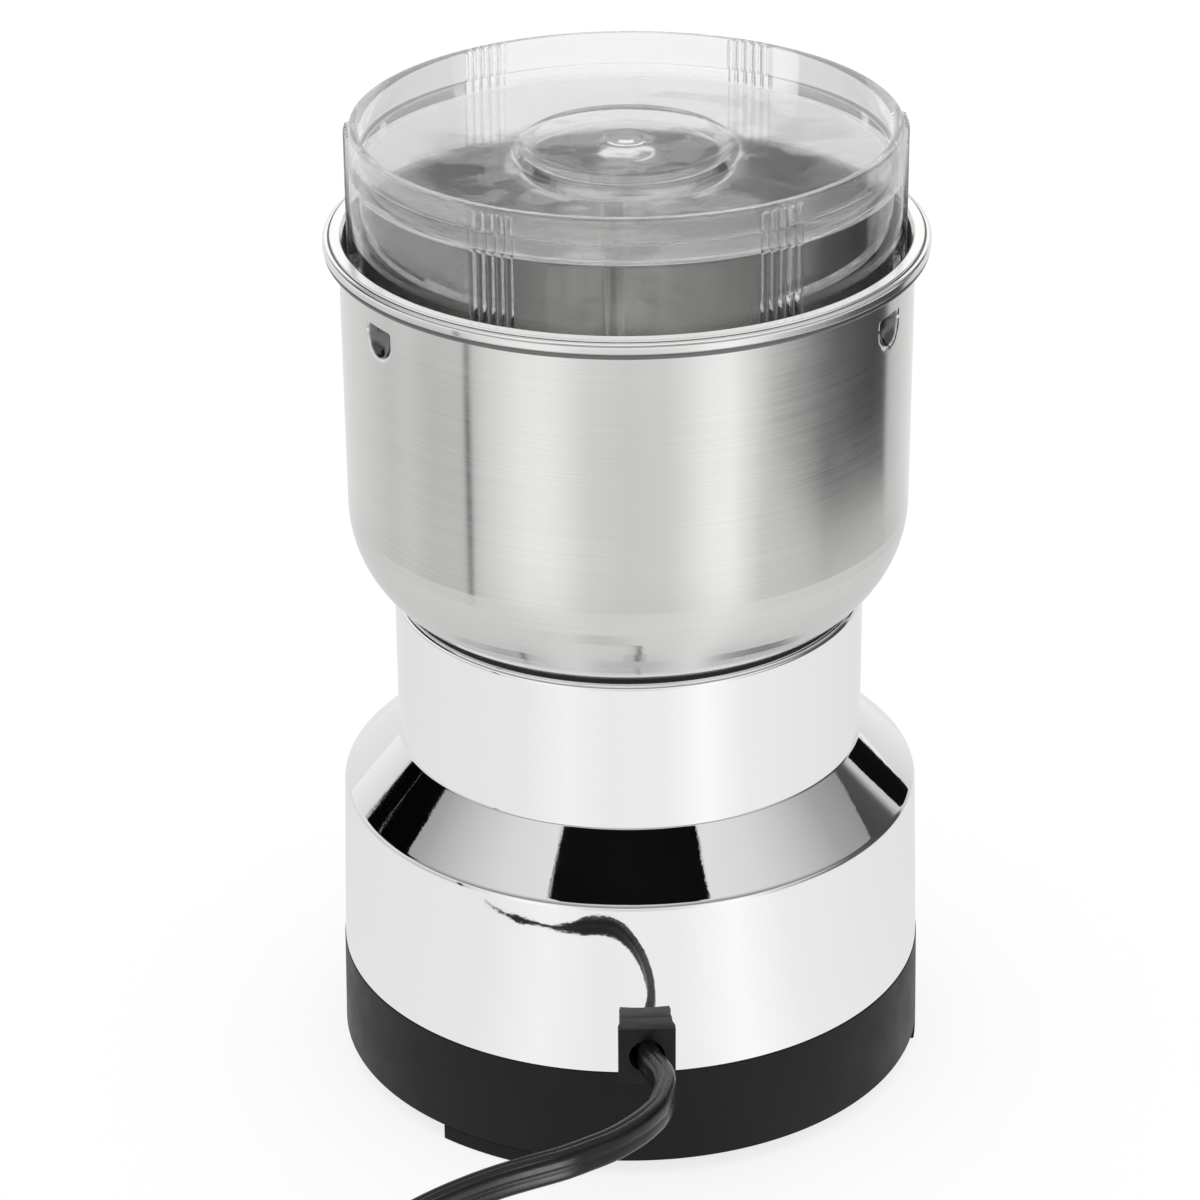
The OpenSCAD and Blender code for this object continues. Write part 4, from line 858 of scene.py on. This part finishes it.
# --- Rotor -----------------------------------------------------------------------------------
# Ground steel shaft with a pressed-on stack of slotted sheets, enamelled copper windings dipped
# in varnish, a copper commutator moulded in phenolic and a nylon cooling fan.
def lined(made, axis, pitch, share, depth, height):
    """Darker and lower lines across an axis, which is "Z", "Angle" or "Radius"; share is their width."""
    at = spot(made)
    if axis == "Angle":
        value = calc(made, "DEGREES", calc(made, "ARCTAN2", at["Y"], at["X"]))
    else:
        value = calc(made, "DIVIDE", from_axis(made, at) if axis == "Radius" else at[axis], MM)
    wave = calc(made, "PINGPONG", calc(made, "DIVIDE", value, pitch), 0.5)
    line = add(made, "MapRange", {"Value": wave, "From Min": 0.0, "From Max": share},
               interpolation_type="SMOOTHSTEP")
    darken(made, spread(made, line, 1 - depth, 1, 0, 1))
    relief(made, line, height)


shaft_steel = steel_part("ground_shaft_steel", 0.7, (1, 1, 12), (0.58, 0.58, 0.59), (0.74, 0.74, 0.74), 0.004)
swap("motor_shaft", "motor_rotor_shaft", shaft_steel, "rotor", 0.2)
core_sheets = finish("stacked_rotor_sheets", (0.20, 0.20, 0.21), (0.36, 0.36, 0.37), 0.36, 0.6, 2.2, height=0.02,
                     Metallic=1.0)
lined(core_sheets, "Z", 0.5, 0.2, 0.45, 0.06)
swap("rotor_core", "rotor_sheet_stack", core_sheets, "rotor", 0.12)
enamel = finish("enamelled_rotor_wire", (0.36, 0.13, 0.045), (0.62, 0.27, 0.11), 0.2, 0.42, 1.3, (1, 1, 0.2), 0.02,
                Metallic=0.85, Coat_Weight=0.5)
lined(enamel, "Radius", 0.42, 0.4, 0.4, 0.12)
swap("rotor_windings", "rotor_wire_windings", enamel, "rotor", 0.4)
segments = finish("commutator_copper", (0.52, 0.24, 0.12), (0.74, 0.40, 0.23), 0.22, 0.38, 0.8, (1, 1, 8), 0.01,
                  Metallic=1.0)
lined(segments, "Angle", 15, 0.09, 0.92, 0.25)
swap("commutator", "rotor_commutator", segments, "rotor", 0.15)
fan_nylon = finish("natural_fan_nylon", (0.66, 0.63, 0.56), (0.78, 0.75, 0.69), 0.36, 0.5, 5, height=0.02,
                   Subsurface_Weight=0.08, Subsurface_Scale=0.002)
swap("cooling_fan", "motor_cooling_fan", fan_nylon, "rotor", 0.2)

# --- Stator ----------------------------------------------------------------------------------
# Stack of punched electrical sheets with two poles, riveted and lightly oiled, and the two
# field coils wound in enamelled copper wire and laced before they are pushed on to the poles.
stator_sheets = finish("stacked_stator_sheets", (0.18, 0.18, 0.19), (0.33, 0.33, 0.34), 0.38, 0.62, 2.6, height=0.02,
                       Metallic=1.0)
lined(stator_sheets, "Z", 0.5, 0.2, 0.5, 0.07)
swap("stator_core", "stator_sheet_stack", stator_sheets, soften=0.12)
field_wire = finish("enamelled_field_wire", (0.34, 0.12, 0.04), (0.60, 0.25, 0.10), 0.2, 0.4, 1.5, (0.3, 0.3, 1),
                    0.02, Metallic=0.85, Coat_Weight=0.6)
lined(field_wire, "Radius", 0.48, 0.42, 0.38, 0.14)
swap("field_coils", "stator_field_coils", field_wire, soften=0.5)

# --- Motor frame -----------------------------------------------------------------------------
# Die-cast upper bracket and moulded nylon lower bracket, drawn together over the stator by two
# long screws. Each holds a sintered bronze bearing; a rubber cushion carries the lower one.
cast = finish("die_cast_aluminium", (0.48, 0.48, 0.49), (0.66, 0.66, 0.66), 0.42, 0.62, 2.4, height=0.06,
              Metallic=1.0)
swap("upper_bracket", "motor_upper_bracket", cast, soften=0.35)
frame_nylon = finish("natural_bracket_nylon", (0.62, 0.59, 0.52), (0.75, 0.72, 0.66), 0.4, 0.56, 6, height=0.03,
                     Subsurface_Weight=0.05, Subsurface_Scale=0.002)
swap("lower_bracket", "motor_lower_bracket", frame_nylon, soften=0.25)
sintered = finish("sintered_bronze", (0.42, 0.27, 0.12), (0.62, 0.44, 0.24), 0.34, 0.55, 0.35, height=0.03,
                  Metallic=1.0)
swap("upper_bearing", "shaft_upper_bearing", sintered, soften=0.25)
swap("lower_bearing", "shaft_lower_bearing", sintered, soften=0.25)
long_zinc = zinc_finish("zinc_plated_long_screw_steel")
swap("motor_screws", "motor_frame_screws", long_zinc, soften=0.15)
cushion = finish("black_cushion_rubber", (0.017, 0.017, 0.018), (0.030, 0.030, 0.029), 0.6, 0.85, 1.6, height=0.04)
swap("motor_cushion", "motor_rubber_cushion", cushion, soften=0.4)

# --- Brushes ---------------------------------------------------------------------------------
# Two brass channels snapped into the lower bracket, each with a pressed carbon brush that its
# wound steel spring pushes on to the commutator.
channel = finish("brush_holder_brass", (0.60, 0.44, 0.20), (0.78, 0.62, 0.34), 0.24, 0.42, 1.1, (1, 0.2, 1), 0.012,
                 Metallic=1.0)
swap("brush_holders", "brush_holder_channels", channel, soften=0.12)
carbon = finish("pressed_brush_carbon", (0.028, 0.028, 0.030), (0.060, 0.060, 0.062), 0.45, 0.7, 0.5, height=0.03,
                Specular_IOR_Level=0.6)
swap("carbon_brushes", "carbon_brush_blocks", carbon, soften=0.15)
spring_steel = steel_part("spring_wire_steel", 0.5, (1, 1, 1), (0.40, 0.40, 0.41), (0.58, 0.58, 0.57))
swap("brush_springs", "brush_spring_coils", spring_steel, soften=0, sharp=45)

# --- Switch ----------------------------------------------------------------------------------
# Micro switch with a red plunger in a nylon bracket behind the push button. Two screws hold the
# bracket to the base's floor, and a coiled steel spring pushes the button back out.
spring = swap("button_spring", "button_return_spring", spring_steel, soften=0, sharp=45)
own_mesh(spring)
guide_nylon = finish("natural_switch_nylon", (0.64, 0.61, 0.54), (0.76, 0.73, 0.67), 0.4, 0.55, 4, height=0.02,
                     Subsurface_Weight=0.05, Subsurface_Scale=0.002)
swap("switch_bracket", "switch_mount_bracket", guide_nylon, soften=0.2)
bracket_zinc = zinc_finish("zinc_plated_bracket_screw_steel")
swap("bracket_screws", "switch_bracket_screws", bracket_zinc, soften=0.12)
phenolic = finish("black_switch_phenolic", (0.018, 0.019, 0.020), (0.032, 0.033, 0.034), 0.34, 0.52, 3, height=0.02)
swap("switch_body", "micro_switch_body", phenolic, soften=0.25)
plunger_red = finish("red_plunger_acetal", (0.42, 0.030, 0.022), (0.56, 0.048, 0.034), 0.26, 0.4, 1.2, height=0.01)
swap("switch_plunger", "micro_switch_plunger", plunger_red, "plunger", 0.2)

# --- Capacitor and wiring --------------------------------------------------------------------
# Boxed film capacitor that keeps brush noise off the mains, two closed crimp connectors and the
# short insulated wires from the lead to the switch, the coils and the brushes.
film_case = finish("yellow_capacitor_case", (0.60, 0.43, 0.06), (0.76, 0.58, 0.12), 0.3, 0.46, 3.5, height=0.015)
swap("capacitor", "mains_capacitor", film_case, soften=0.4)
closed_nylon = finish("connector_nylon", (0.66, 0.64, 0.60), (0.80, 0.78, 0.74), 0.28, 0.44, 2, height=0.015,
                      Subsurface_Weight=0.1, Subsurface_Scale=0.001)
swap("wire_connectors", "closed_crimp_connectors", closed_nylon, soften=0.4)
wire_pvc = finish("brown_wire_pvc", (0.085, 0.032, 0.014), (0.125, 0.048, 0.022), 0.3, 0.46, 1.5, height=0.01)
blue_pvc = finish("blue_wire_pvc", (0.018, 0.050, 0.22), (0.030, 0.075, 0.30), 0.3, 0.46, 1.5, height=0.01)
wires = swap("inner_wires", "hook_up_wires", wire_pvc, soften=0, sharp=50)
wires.data.materials.append(blue_pvc)
for face in wires.data.polygons:
    face.material_index = 1 if face.center.x < 0 else 0

# --- Lead clamp ------------------------------------------------------------------------------
# Nylon bridge screwed down over the lead inside the base, so that a pull on the lead never
# reaches the wiring, and the stretch of the lead that runs through it.
bridge_nylon = finish("natural_clamp_nylon", (0.64, 0.61, 0.55), (0.77, 0.74, 0.68), 0.38, 0.54, 3, height=0.02,
                      Subsurface_Weight=0.05, Subsurface_Scale=0.002)
swap("lead_clamp", "lead_clamp_bridge", bridge_nylon, soften=0.3)
clamp_zinc = zinc_finish("zinc_plated_clamp_screw_steel")
swap("clamp_screws", "lead_clamp_screws", clamp_zinc, soften=0.12)
inner_pvc = finish("black_inner_lead_pvc", (0.009, 0.009, 0.010), (0.017, 0.017, 0.018), 0.28, 0.42, 2.4,
                   height=0.015)
swap("lead_inner", "lead_inner_end", inner_pvc, soften=0, sharp=45)

# --- Table and light -------------------------------------------------------------------------
# A white table in a white studio. Plain soft light comes from all round; polished metal shows
# the table, a greyer ceiling and three dark openings in it.
table_r, table_sides = 6000, 64
table = put_in_scene("table", [(*polar(table_r, 360 * i / table_sides), 0) for i in range(table_sides)],
                     [tuple(range(table_sides))], smooth=False)
table.data.transform(Matrix.Translation((0, 0, -0.00005)))
white = new_finish("white_table", (0.8, 0.8, 0.8), 0.9)
ray = add(white, "LightPath").node.outputs
at = spot(white)
turn = calc(white, "ARCTAN2", calc(white, "MULTIPLY", at["X"], -1.0), at["Y"])
around = tint(white, spread(white, turn, 0, 1, -math.pi, math.pi), (0.0, 0.86), (0.12, 0.80), (0.25, 0.84),
              (0.36, 0.86), (0.418, 0.96), (0.465, 0.89), (0.535, 0.91), (0.585, 1.04), (0.64, 0.9), (0.72, 0.86),
              (0.88, 0.80), (1.0, 0.86))
seen = calc(white, "MAXIMUM", ray["Is Camera Ray"], ray["Is Transmission Ray"])
shown = add(white, "Emission", {"Color": (1, 1, 1, 1), "Strength": 0.78})
mirrored = add(white, "Emission", {"Color": around, "Strength": 0.96})
plain_white = add(white, "BsdfDiffuse", {"Color": (0.30, 0.30, 0.30, 1)})
lit_white = add(white, "BsdfDiffuse", {"Color": (0.75, 0.75, 0.75, 1)})
both = add(white, "AddShader", {0: shown, 1: plain_white})
glossy = add(white, "MixShader", {0: ray["Is Glossy Ray"], 1: lit_white, 2: mirrored})
show_as(white, add(white, "MixShader", {0: seen, 1: glossy, 2: both}))
white.node_tree.nodes.remove(white.node_tree.nodes["Principled BSDF"])
table.data.materials.append(white)

studio = bpy.data.worlds.new("white_studio")
studio.use_nodes = True
bpy.context.scene.world = studio
ray = add(studio, "LightPath").node.outputs
facing = add(studio, "TexCoord").node.outputs["Generated"]
ragged = add(studio, "TexNoise", {"Vector": facing, "Scale": 9.0, "Detail": 5.0, "Roughness": 0.6})
fine = add(studio, "TexNoise", {"Vector": facing, "Scale": 45.0, "Detail": 3.0, "Roughness": 0.6})
wander = calc(studio, "ADD", calc(studio, "MULTIPLY", calc(studio, "SUBTRACT", ragged, 0.5), 0.12),
              calc(studio, "MULTIPLY", calc(studio, "SUBTRACT", fine, 0.5), 0.09))
viewer, right = (0.0489, 0.9988, 0), (-0.9988, 0.0489, 0)
up = add(studio, "SeparateXYZ", {"Vector": facing}).node.outputs["Z"]


def along(direction):
    return add(studio, "VectorMath", {0: facing, 1: direction}, operation="DOT_PRODUCT").node.outputs["Value"]


def between(value, low, high, soft=0.02):
    """1 where the value lies between low and high."""
    rise = add(studio, "MapRange", {"Value": value, "From Min": low - soft, "From Max": low + soft})
    fall = add(studio, "MapRange", {"Value": value, "From Min": high - soft, "From Max": high + soft,
                                    "To Min": 1.0, "To Max": 0.0})
    return calc(studio, "MULTIPLY", rise, fall)


side, near = along(right), along(viewer)
safe_up = calc(studio, "MAXIMUM", up, 0.05)
a = calc(studio, "ADD", calc(studio, "DIVIDE", side, safe_up), wander)
b = calc(studio, "ADD", calc(studio, "DIVIDE", near, safe_up), wander)
overhead = calc(studio, "MULTIPLY", between(a, -0.455, 0.455, 0.006), between(b, 0.405, 0.745, 0.006),
                calc(studio, "GREATER_THAN", up, 0.3))
bearing = calc(studio, "DEGREES", calc(studio, "ARCTAN2", side, calc(studio, "MULTIPLY", near, -1.0)))
height = calc(studio, "ADD", calc(studio, "DEGREES", calc(studio, "ARCSINE", up)),
              calc(studio, "MULTIPLY", wander, 25.0))


def opening(start, end, low, high, line):
    """A dark opening between two bearings and two heights in degrees, with a light line across it."""
    return calc(studio, "MULTIPLY", between(bearing, start, end, 0.5), between(height, low, high, 0.15),
                calc(studio, "SUBTRACT", 1.0, between(height, *line, 0.09)))


left = opening(-84, -46, 17.2, 31.9, (22.8, 22.95))
other = opening(33, 62, 6.4, 18.8, (17.2, 17.3))
dark = calc(studio, "MAXIMUM", overhead, left, other)
ceiling = tint(studio, up, *[(math.sin(math.radians(degrees)), bright) for degrees, bright in (
    (0, 0.95), (16, 0.72), (18.6, 0.22), (24, 0.27), (34, 0.37), (43, 0.56), (50, 0.69), (57, 0.76), (66, 1.0),
    (90, 1.0))])
shade_strip = calc(studio, "MULTIPLY", between(height, 19.95, 20.95, 0.12), between(bearing, -2.9, 2.9, 0.25), 0.6)
window = calc(studio, "MULTIPLY", between(bearing, -28, 28, 6), between(height, 8, 34, 3),
              calc(studio, "SUBTRACT", 1.12, shade_strip))
deep = calc(studio, "MULTIPLY", calc(studio, "GREATER_THAN", ray["Glossy Depth"], 1.5),
            calc(studio, "GREATER_THAN", up, 0.22), 1.35)
ceiling = calc(studio, "MAXIMUM", ceiling, window, deep)
mirrored = calc(studio, "MULTIPLY", ceiling, calc(studio, "SUBTRACT", 1.0, calc(studio, "MULTIPLY", dark, 0.995)))
seen = calc(studio, "MAXIMUM", ray["Is Camera Ray"], ray["Is Transmission Ray"])
level = calc(studio, "ADD", calc(studio, "MULTIPLY", ray["Is Glossy Ray"], mirrored),
             calc(studio, "MULTIPLY", calc(studio, "SUBTRACT", 1.0, ray["Is Glossy Ray"]), 0.8))
level = calc(studio, "MAXIMUM", level, seen)
background = studio.node_tree.nodes["Background"]
background.inputs["Color"].default_value = (1, 1, 1, 1)
studio.node_tree.links.new(level, background.inputs["Strength"])

# --- Studio screen ---------------------------------------------------------------------------
# A low round screen of light and dark cloths about the table's middle. Only polished metal
# mirrors it; it gives the spun cup its upright bands.
screen_r, screen_z, screen_h, n = 230, 0.2, 150, 180
screen = put_in_scene(
    "studio_screen", [(*polar(screen_r, 360 * i / n), z) for z in (screen_z, screen_h) for i in range(n)],
    [(i, (i + 1) % n, n + (i + 1) % n, n + i) for i in range(n)], smooth=False)
cloths = new_finish("screen_cloths", (0.5, 0.5, 0.5), 1.0)
at = spot(cloths)
side, near = (calc(cloths, "ADD", calc(cloths, "MULTIPLY", at["X"], way[0]),
                   calc(cloths, "MULTIPLY", at["Y"], way[1])) for way in (right, viewer))
turn = calc(cloths, "ARCTAN2", side, near)
bands = tint(cloths, spread(cloths, turn, 0, 1, -math.pi, math.pi), *[((a + 180) / 360, level) for a, level in (
    (-180, 0.9), (-150, 0.8), (-120, 0.72), (-101, 0.62), (-90, 0.66), (-78, 0.56), (-59, 0.58), (-54, 0.72),
    (-46, 0.86), (-38, 0.98), (-30, 1.0), (-23, 0.92), (-15, 0.76), (0, 0.68), (14, 0.72), (21, 0.84), (29, 1.0),
    (37, 1.06), (44, 0.86), (49, 0.7), (54, 0.46), (62, 0.3), (71, 0.2), (80, 0.13), (92, 0.09), (105, 0.06),
    (115, 0.08), (118, 0.55), (135, 0.72), (155, 0.85))])
degrees = calc(cloths, "DEGREES", turn)
height = calc(cloths, "DIVIDE", at["Z"], MM)
hem = calc(cloths, "MAXIMUM", calc(cloths, "SUBTRACT", 88.0, calc(cloths, "MULTIPLY", degrees, 0.88)), 19.0)
under = calc(cloths, "MULTIPLY", calc(cloths, "LESS_THAN", height, hem),
             calc(cloths, "GREATER_THAN", degrees, 50.0), 0.66)
slit = spread(cloths, calc(cloths, "ABSOLUTE", calc(cloths, "ADD", degrees, 60.3)), 0.1, 1.0, 0.7, 1.6)
glow = add(cloths, "Emission", {"Strength": calc(cloths, "MULTIPLY", calc(cloths, "MAXIMUM", bands, under), slit)})
tall = calc(cloths, "MULTIPLY", spread(cloths, degrees, 0, 1, 58, 84), calc(cloths, "LESS_THAN", degrees, 120.0))
shown = calc(cloths, "MAXIMUM", tall, calc(cloths, "LESS_THAN", height, 75.0))
show_as(cloths, add(cloths, "MixShader", {0: shown, 1: add(cloths, "BsdfTransparent"), 2: glow}))
cloths.node_tree.nodes.remove(cloths.node_tree.nodes["Principled BSDF"])
screen.data.materials.append(cloths)

# --- Lead's mirror picture and lamps ---------------------------------------------------------
# A slimmer copy of the lead's first stretch, which only polished metal shows. Two weak lamps
# shine on the lead alone and give its round edge a light line.
near_stretch = smooth_line([Vector(p) for p in lead_route[:18] + [
    (27.7, 88.1, 24.2), (33.5, 88, 22.8), (39.2, 86.5, 22), (44.4, 83.6, 22.1), (49, 79.7, 22.6), (53.3, 75.4, 23.2),
    (57, 71, 24), (60.5, 66, 25.2), (63.5, 61, 26.8)]], 2)
mirrored_lead = sweep("mirrored_lead", near_stretch, lead_section)
widths = [(0, 0.62), (0.4, 0.62), (0.52, 0.6), (0.6, 0.34), (0.68, 0.14), (0.76, 0.12), (0.84, 0.26), (0.9, 0.1),
          (1, 0.02)]
for i, point in enumerate(mirrored_lead.data.vertices):
    step = min(i // len(lead_section), len(near_stretch) - 1)
    share = step / (len(near_stretch) - 1)
    k = next(k for k in range(1, len(widths)) if share <= widths[k][0])
    (s0, w0), (s1, w1) = widths[k - 1], widths[k]
    middle = near_stretch[step] * MM
    point.co = middle + (point.co - middle) * (w0 + (w1 - w0) * (share - s0) / (s1 - s0))
mirrored_lead.data.materials.append(lead_pvc)
for piece in (screen, mirrored_lead):
    piece.visible_camera = piece.visible_diffuse = piece.visible_transmission = piece.visible_shadow = False

lit = bpy.data.collections.new("lit_by_lead_lamps")
lit.objects.link(lead)
for name, size, energy, at in (("upper_lead_lamp", 80, 0.11, (60, 255, 290)),
                               ("low_lead_lamp", 24, 0.014, (7, 120, 4))):
    lamp_shape = bpy.data.lights.new(name, "AREA")
    lamp_shape.size, lamp_shape.energy = size * MM, energy
    lamp_shape.diffuse_factor, lamp_shape.transmission_factor = 0.0, 0.0
    lamp = bpy.data.objects.new(name, lamp_shape)
    bpy.context.scene.collection.objects.link(lamp)
    lamp.location = Vector(at) * MM
    lamp.rotation_euler = (Vector((20, 88, 24)) * MM - lamp.location).to_track_quat("-Z", "Y").to_euler()
    lamp.visible_camera = lamp.visible_transmission = False
    lamp.light_linking.receiver_collection = lit

bpy.context.scene.view_settings.view_transform = "Standard"
